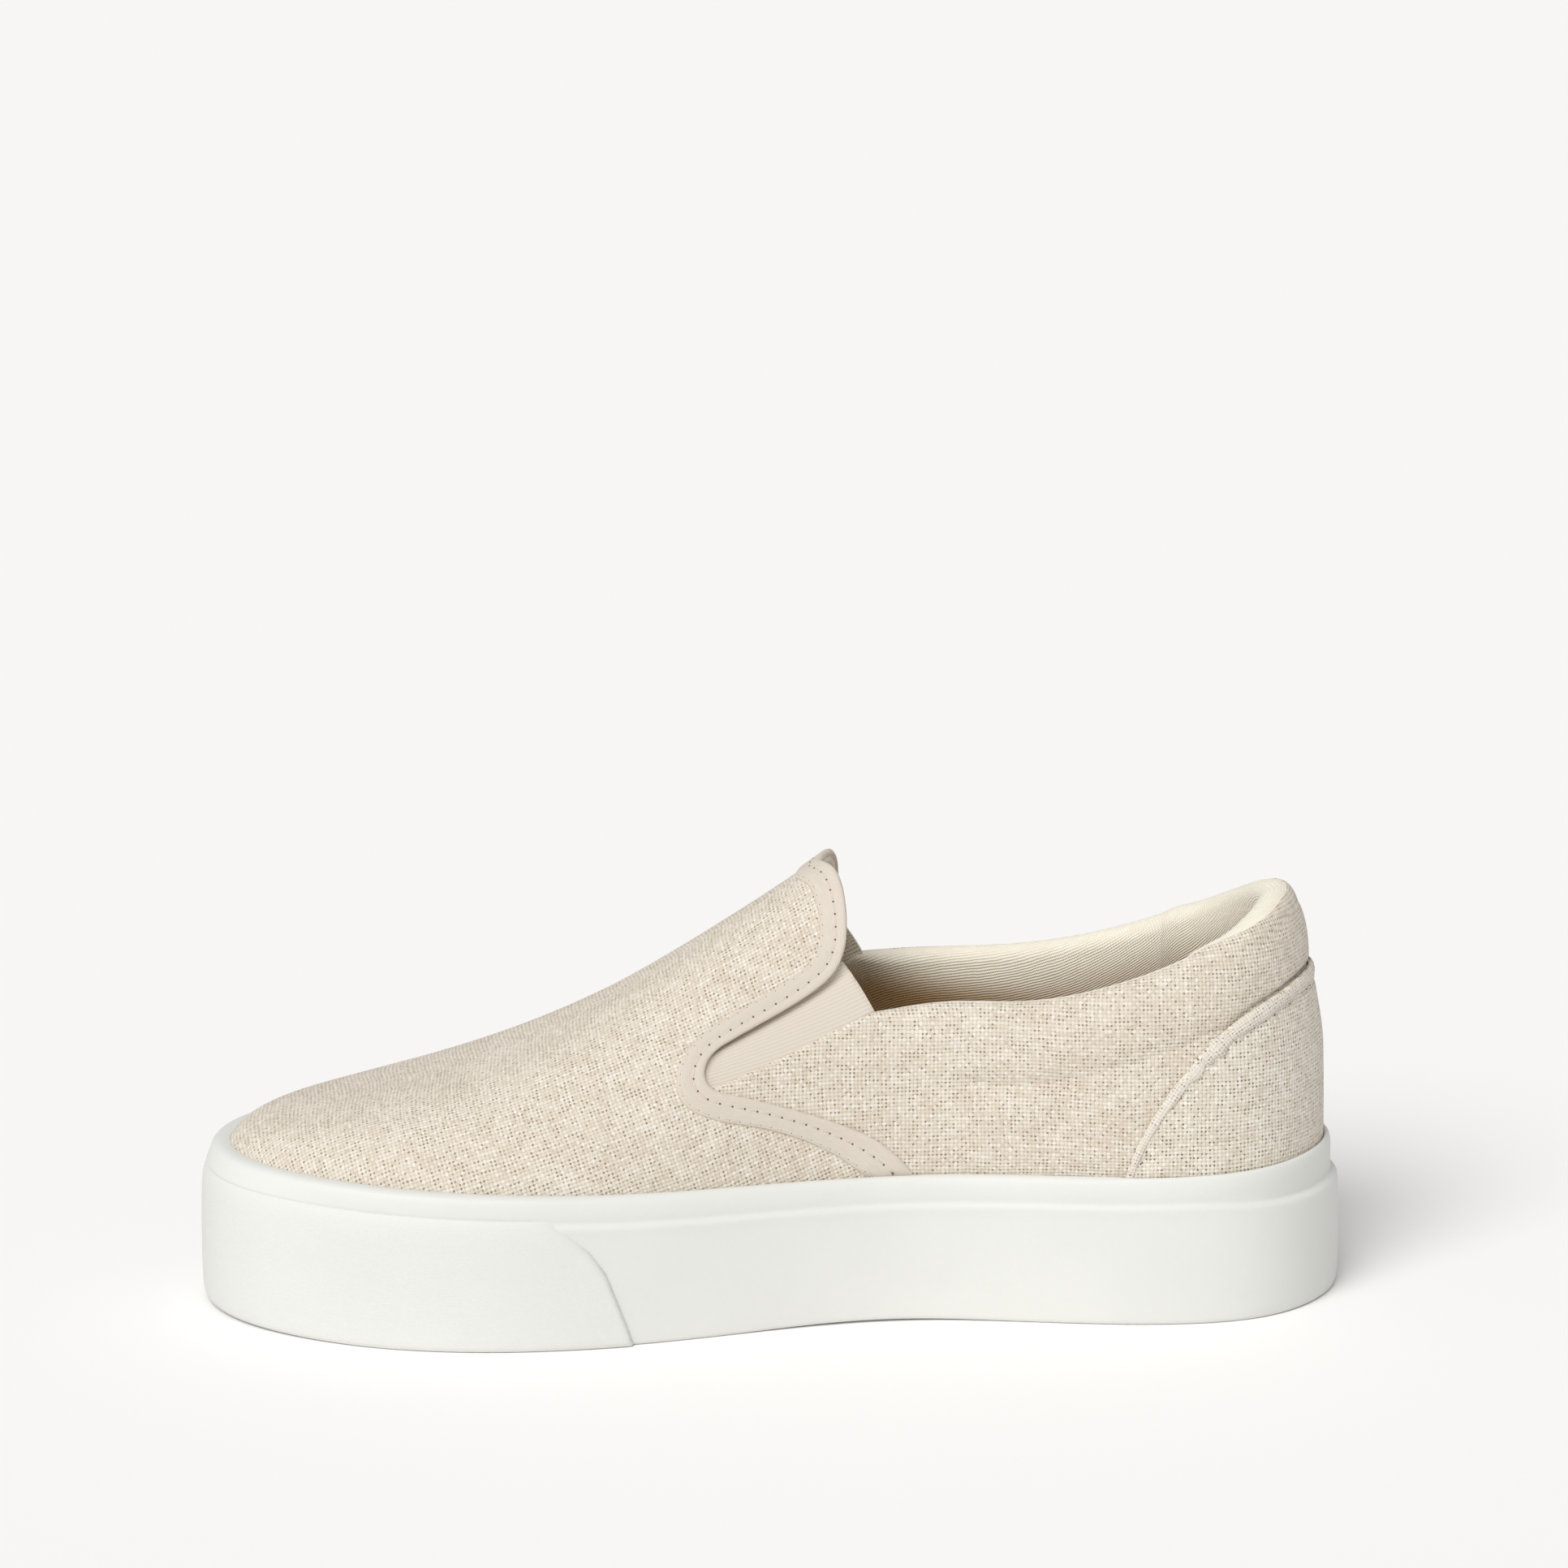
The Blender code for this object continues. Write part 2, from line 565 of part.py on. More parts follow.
def make_upper():
    """One hollow wall: a closed profile at every rib, from the feather edge over the rim and back."""
    medial, lateral = opening()
    feet = []
    for ribs, side in ((medial, 1.0), (lateral, -1.0)):
        feet.append(np.stack(LAST.foot(ribs[:, 3], side), axis=1))
    ribs, feet = np.concatenate([medial, lateral]), np.concatenate(feet)
    tops, wall = ribs[:, :2], ribs[:, 2]
    outer_shares = (0.0, 0.08, 0.16, 0.25, 0.35, 0.46, 0.57, 0.68, 0.79, 0.90, 1.0)
    inner_shares = (1.0, 0.90, 0.76, 0.60, 0.44, 0.29, 0.14, 0.0)
    length = np.linalg.norm(tops - feet, axis=1)
    crowd = (1 + np.clip((length - SHORT_RIB) / (LONG_RIB - SHORT_RIB), 0, 1))[:, None]
    points = []
    for share in outer_shares:
        place = feet + (tops - feet) * share ** crowd
        points.append(LAST.skin(place[:, 0], place[:, 1], 0.0))
    rim, under = points[-1], LAST.skin(tops[:, 0], tops[:, 1], -wall)
    up = rim - points[-2]
    across = (under - rim) / wall[:, None]
    up -= across * np.sum(up * across, axis=1, keepdims=True)
    up /= np.linalg.norm(up, axis=1, keepdims=True)
    for turn in np.radians((36, 72, 108, 144)):
        radius = wall[:, None] / 2
        points.append(rim + across * radius * (1 - math.cos(turn)) + up * radius * math.sin(turn))
    depth = np.linalg.norm(LAST.face(*feet.T) - rim, axis=1)
    for share in inner_shares:
        place = feet + (tops - feet) * share ** crowd
        fade = np.clip((1 - share) * depth / PADDING_DEPTH, 0, 1)
        thick = WALL + (wall - WALL) * (1 - fade * fade * (3 - 2 * fade))
        points.append(LAST.skin(place[:, 0], place[:, 1], -thick))
    points = np.stack(points, axis=1)
    upper = solid("upper", points, ring_faces(len(ribs), points.shape[1], True), CANVAS)
    for side in (1.0, -1.0):
        notch = gore_panel("gore_notch", side, GAP, -WALL - 4.0, 4.0, back=-32.0)
        notch.hide_render = True
        notch.display_type = "WIRE"
        cut = upper.modifiers.new("gore_notch", "BOOLEAN")
        cut.operation = "DIFFERENCE"
        cut.solver = "EXACT"
        cut.object = notch
    return upper


def gore_panel(name, side, grow, inside, outside, back=None):
    """The panel between the vamp's edge and the quarter, grown on all sides but its free top."""
    rows, columns = 5, 12
    across, along = np.linspace(0, 1, rows)[:, None], np.linspace(0, 1, columns)[None, :]
    v = GORE_TOP_V - grow + (GORE_FOOT_V - GORE_TOP_V + 2 * grow) * across
    start = GORE_BACK_U - GORE_SLANT * (v - GORE_TOP_V) if back is None else back
    front = GORE_FRONT_U + grow - 2.5 * (2 * across - 1) ** 2
    u = start + (front - start) * along
    v = np.broadcast_to(v, u.shape) * side
    grids = [LAST.skin(u, v, out) for out in (inside, outside)]
    if side > 0:
        grids = [grid[::-1] for grid in grids]
    return slab(name, *grids, ELASTIC)


def make_gore(name, side):
    """The elastic gore, set in its notch a little below the canvas."""
    return gore_panel(name, side, 0.0, -GORE_SUNK - GORE_THICK, -GORE_SUNK)


def make_tape(name, side):
    """The cloth tape over the vamp's edge, from the gore down to the sole."""
    rows, columns, fine = 4, 18, 200
    middle = evened(TAPE, fine)
    along = np.gradient(middle, axis=0)
    along /= np.linalg.norm(along, axis=1, keepdims=True)
    across = np.stack([-along[:, 1], along[:, 0]], axis=1)
    places = []
    for share in np.linspace(-1, 1, rows):
        line = middle + across * share * TAPE_WIDTH / 2
        spot = LAST.face(line[:, 0], line[:, 1] * side)
        clear = spot[:, 2] > band_top(spot[:, 0]) + GAP
        last = fine - 1 if clear.all() else int(np.argmin(clear)) - 1
        places.append(line[np.linspace(0, last, columns).astype(int)])
    places = np.array(places)
    grids = []
    for base, crown in ((GAP, 0.0), (GAP + 0.25, TAPE_THICK - 0.25)):
        out = base + crown * (1 - np.linspace(-1, 1, rows)[:, None] ** 4)
        grids.append(LAST.skin(places[..., 0], places[..., 1] * side, out))
    if side > 0:
        grids = [grid[::-1] for grid in grids]
    return slab(name, *grids, TAPE_CLOTH)


def make_counter():
    """The panel that wraps the heel, laid over the quarters."""
    rows = 7
    top_of = table(COUNTER_TOPS, reverse=True)
    half = np.array([row.foot for row in COUNTER_TOPS])
    places = np.concatenate([np.linspace(half[0], half[3], 6)[:-1], np.linspace(half[3], half[-1], 12)])
    place = np.concatenate([places, places[-2::-1]])
    side = np.concatenate([np.full(len(places), 1.0), np.full(len(places) - 1, -1.0)])
    foot = LAST.face(*LAST.foot(place, side))
    bottom, top = band_top(foot[:, 0]) + GAP, top_of(place)
    grids = [[], []]
    for share in np.linspace(0, 1, rows):
        u, v = LAST.at_height(place, side, bottom + (top - bottom) * share)
        edge = 0.35 if share in (0.0, 1.0) else 0.0
        for grid, out in zip(grids, (GAP, GAP + COUNTER_THICK - edge)):
            grid.append(LAST.skin(u, v, out))
    return slab("heel_counter", *(np.array(grid)[::-1] for grid in grids), CANVAS)


def main():
    """Build every piece in an empty scene."""
    for old in list(bpy.data.objects):
        bpy.data.objects.remove(old)
    make_outsole()
    make_foxing()
    make_toe_bumper()
    make_insole()
    make_upper()
    for name, side in (("medial", 1.0), ("lateral", -1.0)):
        make_gore("gore_" + name, side)
        make_tape("vamp_tape_" + name, side)
    make_counter()


main()
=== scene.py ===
"""A canvas slip-on sneaker, right foot: the cloth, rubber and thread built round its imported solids.

The toe points along +X, the inner side is +Y and the shoe stands on z = 0. Sizes are millimetres
and become metres where a mesh is made. Everything above the sole is laid on one last: a form
unrolled round its ridge, where u runs along the shoe and v from the ridge down either side to the
feather edge, where the upper meets the sole.
"""

import json
import logging
import math
from dataclasses import dataclass, field
from enum import Enum
from typing import Any, Callable, Optional, Sequence

import bpy
import numpy as np
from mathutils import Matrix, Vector
from mathutils.geometry import delaunay_2d_cdt

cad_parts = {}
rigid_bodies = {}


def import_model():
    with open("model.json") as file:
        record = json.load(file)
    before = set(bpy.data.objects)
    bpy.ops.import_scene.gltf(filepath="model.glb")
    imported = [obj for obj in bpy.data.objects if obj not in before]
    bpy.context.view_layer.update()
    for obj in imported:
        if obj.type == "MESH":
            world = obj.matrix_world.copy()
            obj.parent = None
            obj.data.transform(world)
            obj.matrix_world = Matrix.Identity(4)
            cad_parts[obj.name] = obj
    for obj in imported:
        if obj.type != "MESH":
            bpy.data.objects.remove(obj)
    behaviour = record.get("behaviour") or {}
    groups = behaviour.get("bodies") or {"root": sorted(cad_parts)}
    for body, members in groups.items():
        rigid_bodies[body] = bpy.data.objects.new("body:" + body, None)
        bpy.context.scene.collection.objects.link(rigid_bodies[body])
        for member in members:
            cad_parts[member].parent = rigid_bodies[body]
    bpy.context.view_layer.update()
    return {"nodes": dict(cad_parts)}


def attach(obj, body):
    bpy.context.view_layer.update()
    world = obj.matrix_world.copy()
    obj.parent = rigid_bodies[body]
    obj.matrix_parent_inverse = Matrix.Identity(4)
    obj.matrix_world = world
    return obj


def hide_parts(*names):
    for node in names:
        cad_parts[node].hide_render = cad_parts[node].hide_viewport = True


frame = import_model()

LOG = logging.getLogger("sneaker")
MM = 0.001
MM_PER_METRE = 1000.0
CLOTH_MAP = "cloth"
ROOT = "root"
Array = np.ndarray
# Unrolled places: their u and their v.
Laid = tuple[Array, Array]


class Side(Enum):
    """Which side of the shoe a piece is on, as the sign of its y."""

    MEDIAL = 1.0
    LATERAL = -1.0


class Weave(Enum):
    """How a cloth is woven."""

    PLAIN = "plain"
    TWILL = "twill"
    RIBBED = "ribbed"


# The sole's outline from above, clockwise from the heel: the widest line of its side.
OUTLINE = (
    (-137.1, 2.0), (-131.0, 20.0), (-116.0, 33.5), (-94.0, 38.0), (-66.0, 35.5), (-36.0, 32.3),
    (-2.0, 37.2), (30.0, 46.0), (62.0, 50.0), (92.0, 46.3), (116.0, 35.0), (130.5, 20.5),
    (135.6, 4.0), (131.5, -13.0), (115.0, -31.0), (82.0, -45.0), (44.0, -50.0), (4.0, -46.0),
    (-36.0, -40.0), (-74.0, -37.5), (-106.0, -34.0), (-128.0, -20.0),
)
TIP_X = 135.6
# Sections of the last: x, height of the top, drift of the ridge, fullness at the side and crown.
SECTIONS = (
    (-133.0, 158.0, 0.0, 2.6, 2.0), (-100.0, 158.0, 0.5, 2.6, 2.0), (-60.0, 146.0, 1.0, 2.5, 2.0),
    (-20.0, 112.6, 3.0, 2.1, 2.0), (10.0, 91.5, 5.0, 1.9, 2.0), (40.0, 73.0, 6.0, 2.0, 2.1),
    (70.0, 59.2, 6.0, 2.3, 2.4), (100.0, 50.6, 5.0, 2.8, 2.8), (133.0, 47.8, 4.0, 4.0, 3.1),
)
BAND_TOPS = (
    (-137.0, 37.5), (-100.0, 36.4), (-60.0, 36.0), (-20.0, 35.7), (20.0, 36.2), (60.0, 37.4),
    (104.0, 38.8), (136.0, 39.4),
)
HEEL_CENTRE, TOE_CENTRE = -98.0, 88.0
GIRTH, TOE_GIRTH = 75.0, 52.0
HEEL_QUARTER, TOE_QUARTER = 75.0, 60.0
HEEL_BACK = HEEL_CENTRE - HEEL_QUARTER * math.pi / 2
TOE_FRONT = TOE_CENTRE + TOE_QUARTER * math.pi / 2
BED_Z, BAND, BAND_LIFT = 27.0, 4.0, 0.08
BAND_BACK = BAND - 0.45
# How far the heel leans in over the counter and at the collar: depth, from and to which height.
COUNTER_LEAN, COLLAR_LEAN = (1.7, 60.0, 80.0), (0.9, 86.0, 94.75)
# How far the band swells past the outline: depth, from and to which x.
FLARES = ((0.9, -96.0, -134.0), (0.7, 100.0, 132.0))
TOE_SPRING, SPRING_START = 1.0, 92.0
ARCH_LIFT, ARCH_FROM, ARCH_TO = 0.5, -62.0, 18.0

# The vamp's free edge from the middle of the tongue to the sole, and the tape's inner edge.
VAMP_EDGE = (
    (-12.0, 0.0, -6.2, 0.0), (-12.9, 5.0, -7.0, 4.8), (-14.8, 11.5, -8.9, 11.0),
    (-16.3, 19.0, -10.3, 18.2), (-17.1, 26.0, -11.1, 24.8), (-17.2, 31.0, -11.0, 29.0),
    (-16.6, 34.6, -10.2, 31.6), (-14.9, 37.2, -8.6, 32.9), (-12.0, 38.4, -6.4, 33.3),
    (-6.0, 39.0, -2.4, 33.7), (0.0, 39.15, 2.2, 33.8), (6.0, 39.25, 8.2, 33.9),
    (11.0, 39.5, 13.8, 34.3), (14.4, 40.1, 18.9, 35.8), (16.5, 41.7, 22.4, 38.9),
    (17.2, 43.9, 23.7, 43.0), (16.6, 46.2, 22.9, 47.3), (14.8, 48.3, 19.6, 51.1),
    (11.0, 50.5, 13.6, 54.7), (5.0, 53.4, 7.0, 57.3), (-0.4, 56.0, 1.2, 59.6),
    (-6.5, 58.8, -4.9, 62.3), (-12.6, 61.6, -10.9, 65.2), (-19.4, 64.7, -17.5, 68.7),
    (-26.2, 68.0, -24.0, 72.4), (-32.5, 71.8, -29.9, 76.2), (-38.0, 75.6, -35.0, 80.0),
)
# The quarter's top edge: u, v, the wall there, the foot of the rib and how far it dips outside.
GORE_RIBS = (
    (25.0, 46.6, 1.5, -10.0, 0.0), (16.0, 48.2, 1.5, -14.0, 0.0), (5.0, 48.5, 1.6, -20.0, 0.0),
    (-7.0, 48.7, 1.8, -26.0, 0.0), (-16.0, 48.95, 2.3, -30.0, 0.0),
    (-22.4, 49.6, 3.2, -34.0, 0.0),
)
COLLAR_RIBS = (
    (-22.4, 49.6, 3.2, -34.0, 0.0), (-29.0, 52.2, 5.5, -38.0, 0.0), (-39.0, 55.2, 7.0, -45.0, 0.006),
    (-57.0, 59.4, 7.5, -59.0, 0.006), (-76.0, 60.3, 7.8, -76.0, 0.014),
    (-96.0, 58.6, 8.4, -96.0, 0.024), (-116.2, 53.9, 9.0, -122.4, 0.03),
    (-134.6, 41.9, 9.4, -151.9, 0.026), (-147.6, 22.3, 9.6, -184.0, 0.012),
    (-152.1, 0.0, 9.6, HEEL_BACK, 0.0),
)
# The counter's edge: the place round the heel, and its height.
COUNTER_EDGE = (
    (-82.6, 31.0), (-83.6, 37.4), (-85.9, 43.6), (-89.0, 49.6), (-92.9, 55.9), (-96.4, 60.6),
    (-101.8, 64.7), (-109.5, 68.2), (-119.8, 71.8), (-132.0, 74.8), (-145.8, 76.9), (-161.0, 78.5),
    (-174.2, 79.5), (-190.0, 80.1), (HEEL_BACK, 79.8),
)


def spline(places: Any, values: Any) -> Callable[[Any], Array]:
    """Natural cubic curve through values at rising places.

    Args:
        places: where the values are, rising.
        values: one number or one row of numbers for each place.

    Returns:
        A function that reads the curve; past its ends the end values stay.
    """
    places, values = np.asarray(places, float), np.asarray(values, float)
    count, step = len(places), np.diff(places)
    matrix, right = np.eye(count), np.zeros_like(values)
    slope = np.diff(values, axis=0) / step.reshape((-1,) + (1,) * (values.ndim - 1))
    for i in range(1, count - 1):
        matrix[i, i - 1:i + 2] = step[i - 1], 2 * (step[i - 1] + step[i]), step[i]
        right[i] = 6 * (slope[i] - slope[i - 1])
    bend = np.linalg.solve(matrix, right)

    def at(place: Any) -> Array:
        """The curve's value at a place.

        Args:
            place: where to read it.

        Returns:
            The value there.
        """
        place = np.clip(np.asarray(place, float), places[0], places[-1])
        i = np.clip(np.searchsorted(places, place) - 1, 0, count - 2)
        width = step[i]
        before, after = place - places[i], places[i + 1] - place
        if values.ndim > 1:
            width, before, after = width[..., None], before[..., None], after[..., None]
        curved = (bend[i] * after ** 3 + bend[i + 1] * before ** 3) / (6 * width)
        from_left = (values[i] / width - bend[i] * width / 6) * after
        from_right = (values[i + 1] / width - bend[i + 1] * width / 6) * before
        return curved + from_left + from_right
    return at


def table(rows: Sequence[Sequence[float]]) -> Callable[[Any], Array]:
    """The curve of every later column of a table over its first column.

    Args:
        rows: the rows, with a first column that rises or falls.

    Returns:
        A function that reads the later columns.
    """
    grid = np.array(rows, float)
    if grid[0, 0] > grid[-1, 0]:
        grid = grid[::-1]
    return spline(grid[:, 0], grid[:, 1:] if grid.shape[1] > 2 else grid[:, 1])


def walked(line: Array) -> Array:
    """The distance walked along a line of points, at each of them."""
    return np.concatenate([[0.0], np.cumsum(np.linalg.norm(np.diff(line, axis=0), axis=1))])


def evened(points: Any, count: int, closed: bool = False) -> Array:
    """A smooth line through points, as places spaced evenly along it.

    Args:
        points: the rows the line passes through.
        count: how many places to give back.
        closed: whether the line runs round to its start.

    Returns:
        One row for each place.
    """
    points = np.array(points, float)
    wrap = 4 if closed else 0
    line = np.concatenate([points[-wrap:], points, points[:wrap + 1]]) if closed else points
    along = walked(line)
    end = along[wrap + len(points)] if closed else along[-1]
    dense = spline(along, line)(np.linspace(along[wrap], end, 8 * count + 1))
    far = walked(dense)
    even = np.linspace(0, far[-1], count, endpoint=not closed)
    return np.stack([np.interp(even, far, dense[:, k]) for k in range(dense.shape[1])], axis=1)


def respaced(line: Array, step: float) -> Array:
    """Points about a step apart along a line, with both its ends kept.

    Args:
        line: the line's points.
        step: the distance wanted between them.

    Returns:
        The new points.
    """
    far = walked(line)
    even = np.linspace(0, far[-1], max(2, int(round(far[-1] / step)) + 1))
    return np.stack([np.interp(even, far, line[:, k]) for k in range(line.shape[1])], axis=1)


def ways(loop: Array) -> Array:
    """The direction along a closed loop, at each of its points.

    Args:
        loop: the loop's points.

    Returns:
        One unit direction for each point.
    """
    along = np.roll(loop, -1, axis=0) - np.roll(loop, 1, axis=0)
    along /= np.linalg.norm(along, axis=1)[:, None]
    return along


def inset(loop: Array, distance: Any) -> Array:
    """A clockwise loop moved inwards by a distance."""
    along = ways(loop)
    return loop + np.stack([along[:, 1], -along[:, 0]], axis=1) * np.reshape(distance, (-1, 1))


def beside(line: Array, distance: Any) -> Array:
    """An open line moved to its left by a distance.

    Args:
        line: the line's points.
        distance: how far each one moves.

    Returns:
        The moved points.
    """
    way = np.gradient(line, axis=0)
    way /= np.linalg.norm(way, axis=1)[:, None]
    return line + np.stack([-way[:, 1], way[:, 0]], axis=1) * np.reshape(distance, (-1, 1))


def eased(value: Any, low: float, high: float) -> Array:
    """A smooth step from 0 at low to 1 at high."""
    share = np.clip((np.asarray(value, float) - low) / (high - low), 0, 1)
    return share * share * (3 - 2 * share)


def heel_lean(z: Array) -> Array:
    """How far the back of the heel is drawn in at a height.

    Args:
        z: the heights.

    Returns:
        The distances in millimetres.
    """
    depth, start, end = COLLAR_LEAN
    collar = depth * np.clip((z - start) / (end - start), 0, 1.2) ** 2
    return collar + COUNTER_LEAN[0] * eased(z, *COUNTER_LEAN[1:])


class Last:
    """The form that the upper is pulled over, given by its outer face."""

    def __init__(self) -> None:
        """Measures the outline and the reach of the section on every side."""
        self.outline = evened(OUTLINE, 1440, closed=True)
        self.section = table(SECTIONS)
        feather = inset(self.outline, BAND)
        drift = self.section(feather[:, 0])[:, 1]
        self.half: dict[int, Laid] = {}
        for side in (1, -1):
            mine = (feather[:, 1] - drift) * side > 0
            order = np.argsort(feather[mine, 0])
            self.half[side] = feather[mine, 0][order], feather[mine, 1][order]
        self.fan: dict[int, Laid] = {}
        for way, centre in ((1, TOE_CENTRE), (-1, HEEL_CENTRE)):
            arm = feather - (centre, self.section(centre)[1])
            mine = arm[:, 0] * way >= -3
            turn = np.arctan2(arm[mine, 1], arm[mine, 0] * way)
            order = np.argsort(turn)
            self.fan[way] = turn[order], np.hypot(*arm[mine].T)[order]

    def rays(self, u: Any, v: Any) -> tuple[Array, ...]:
        """For unrolled places: the ridge point, the way out from it, its reach, the share walked.

        Args:
            u: how far along the shoe the unrolled places are.
            v: how far down from the ridge they are, signed by the side.

        Returns:
            These values as arrays of one shape, with the way out as x and y.
        """
        u, v = np.broadcast_arrays(np.asarray(u, float), np.asarray(v, float))
        ridge_x = np.clip(u, HEEL_CENTRE, TOE_CENTRE)
        ridge_y = self.section(ridge_x)[..., 1]
        inner = np.interp(ridge_x, *self.half[1]) - ridge_y
        outer = ridge_y - np.interp(ridge_x, *self.half[-1])
        reach = np.where(v >= 0, inner, outer)
        way_x, way_y = np.zeros_like(reach), np.where(v >= 0, 1.0, -1.0)
        share = np.abs(v) / GIRTH
        for way, girth in ((1, TOE_GIRTH), (-1, GIRTH)):
            past = (u - ridge_x) * way
            here = past > 0
            turn = np.arctan2(v[here], past[here])
            reach[here] = np.interp(turn, *self.fan[way])
            way_x[here], way_y[here] = np.cos(turn) * way, np.sin(turn)
            full = GIRTH * np.sin(turn) ** 2 + girth * np.cos(turn) ** 2
            share[here] = np.hypot(past[here], v[here]) / full
        return ridge_x, ridge_y, way_x, way_y, reach, np.clip(share, 0, 1)

    def face(self, u: Any, v: Any) -> Array:
        """Places on the outer face.

        Args:
            u: how far along the shoe the unrolled places are.
            v: how far down from the ridge they are, signed by the side.

        Returns:
            The places in millimetres.
        """
        ridge_x, ridge_y, way_x, way_y, reach, share = self.rays(u, v)
        rows = self.section(ridge_x + way_x * reach)
        lift = (1 - share) * math.pi / 2
        along = reach * np.cos(lift) ** (2 / rows[..., 3])
        x = ridge_x + way_x * along
        z = BED_Z + (self.section(x)[..., 0] - BED_Z) * np.sin(lift) ** (2 / rows[..., 2])
        along = along - heel_lean(z) * np.clip(-way_x, 0, 1) ** 2
        return np.stack([ridge_x + way_x * along, ridge_y + way_y * along, z], axis=-1)

    def outward(self, u: Any, v: Any) -> Array:
        """The outer face's normals.

        Args:
            u: how far along the shoe the unrolled places are.
            v: how far down from the ridge they are, signed by the side.

        Returns:
            Unit vectors that point out.
        """
        step = 0.4
        along = self.face(u + step, v) - self.face(u - step, v)
        across = self.face(u, v + step) - self.face(u, v - step)
        way = np.cross(along, across)
        return way / np.maximum(np.linalg.norm(way, axis=-1, keepdims=True), 1e-9)

    def skin(self, u: Any, v: Any, out: Any) -> Array:
        """Places at a distance outside the outer face, or inside it where out is negative."""
        u, v, out = np.broadcast_arrays(np.asarray(u, float), np.asarray(v, float), out)
        return self.face(u, v) + self.outward(u, v) * out[..., None]

    @staticmethod
    def foot(place: Any, side: Any) -> Laid:
        """The unrolled place on the feather edge, from its place along the edge and its side.

        Args:
            place: how far along the feather edge.
            side: the side as a sign.

        Returns:
            The places' u and v.
        """
        place = np.asarray(place, float)
        u, v = np.clip(place, HEEL_CENTRE, TOE_CENTRE), np.full(place.shape, GIRTH)
        ends = ((1, TOE_CENTRE, TOE_GIRTH, TOE_QUARTER), (-1, HEEL_CENTRE, GIRTH, HEEL_QUARTER))
        for way, centre, girth, quarter in ends:
            past = (place - centre) * way
            here = past > 0
            turn = math.pi / 2 - past[here] / quarter
            full = GIRTH * np.sin(turn) ** 2 + girth * np.cos(turn) ** 2
            u[here] = centre + way * full * np.cos(turn)
            v[here] = full * np.sin(turn)
        return u, v * side

    def at_height(self, place: Any, side: Any, z: Any) -> Laid:
        """Unrolled places straight above the feather edge at the heights z.

        Args:
            place: how far along the feather edge.
            side: the side as a sign.
            z: the heights.

        Returns:
            The places' u and v.
        """
        foot_u, foot_v = self.foot(place, side)
        ridge_x = np.clip(foot_u, HEEL_CENTRE, TOE_CENTRE)
        low, high = np.zeros_like(foot_u), np.ones_like(foot_u)
        for _ in range(24):
            share = (low + high) / 2
            above = self.face(ridge_x + (foot_u - ridge_x) * share, foot_v * share)[..., 2] > z
            low, high = np.where(above, share, low), np.where(above, high, share)
        return ridge_x + (foot_u - ridge_x) * share, foot_v * share

    @staticmethod
    def edge_place(along: Array, off: Array) -> Array:
        """The place along the feather edge that points face, from their distance off the ridge.

        Args:
            along: how far along the shoe the points are.
            off: how far off the ridge they are.

        Returns:
            How far along the feather edge the places are.
        """
        place = np.array(along, float)
        for way, centre, quarter in ((1, TOE_CENTRE, TOE_QUARTER), (-1, HEEL_CENTRE, HEEL_QUARTER)):
            past = (along - centre) * way
            here = past > 0
            turn = np.arctan2(np.abs(off)[here], past[here])
            place[here] = centre + way * quarter * (math.pi / 2 - turn)
        return place

    def place_of(self, x: Array, y: Array) -> Laid:
        """The place along the feather edge, and its side, that faces a point of the outline."""
        off = y - self.section(np.clip(x, HEEL_CENTRE, TOE_CENTRE))[:, 1]
        return self.edge_place(x, off), np.where(off >= 0, 1.0, -1.0)

    def ray_of(self, u: Array, v: Array) -> Laid:
        """The ray through unrolled places: its place along the feather edge, and the share walked."""
        return self.edge_place(u, v), self.rays(u, v)[5]


LAST = Last()
band_top = table(BAND_TOPS)


def floor_lift(x: Array) -> Array:
    """How far the sole's underside is off the floor: the toe spring and the waist.

    Args:
        x: places along the shoe.

    Returns:
        The heights in millimetres.
    """
    spring = np.clip((x - SPRING_START) / (TIP_X - SPRING_START), 0, 1)
    waist = np.clip((x - ARCH_FROM) / (ARCH_TO - ARCH_FROM), 0, 1)
    return TOE_SPRING * spring ** 2 + ARCH_LIFT * np.sin(waist * math.pi) ** 2


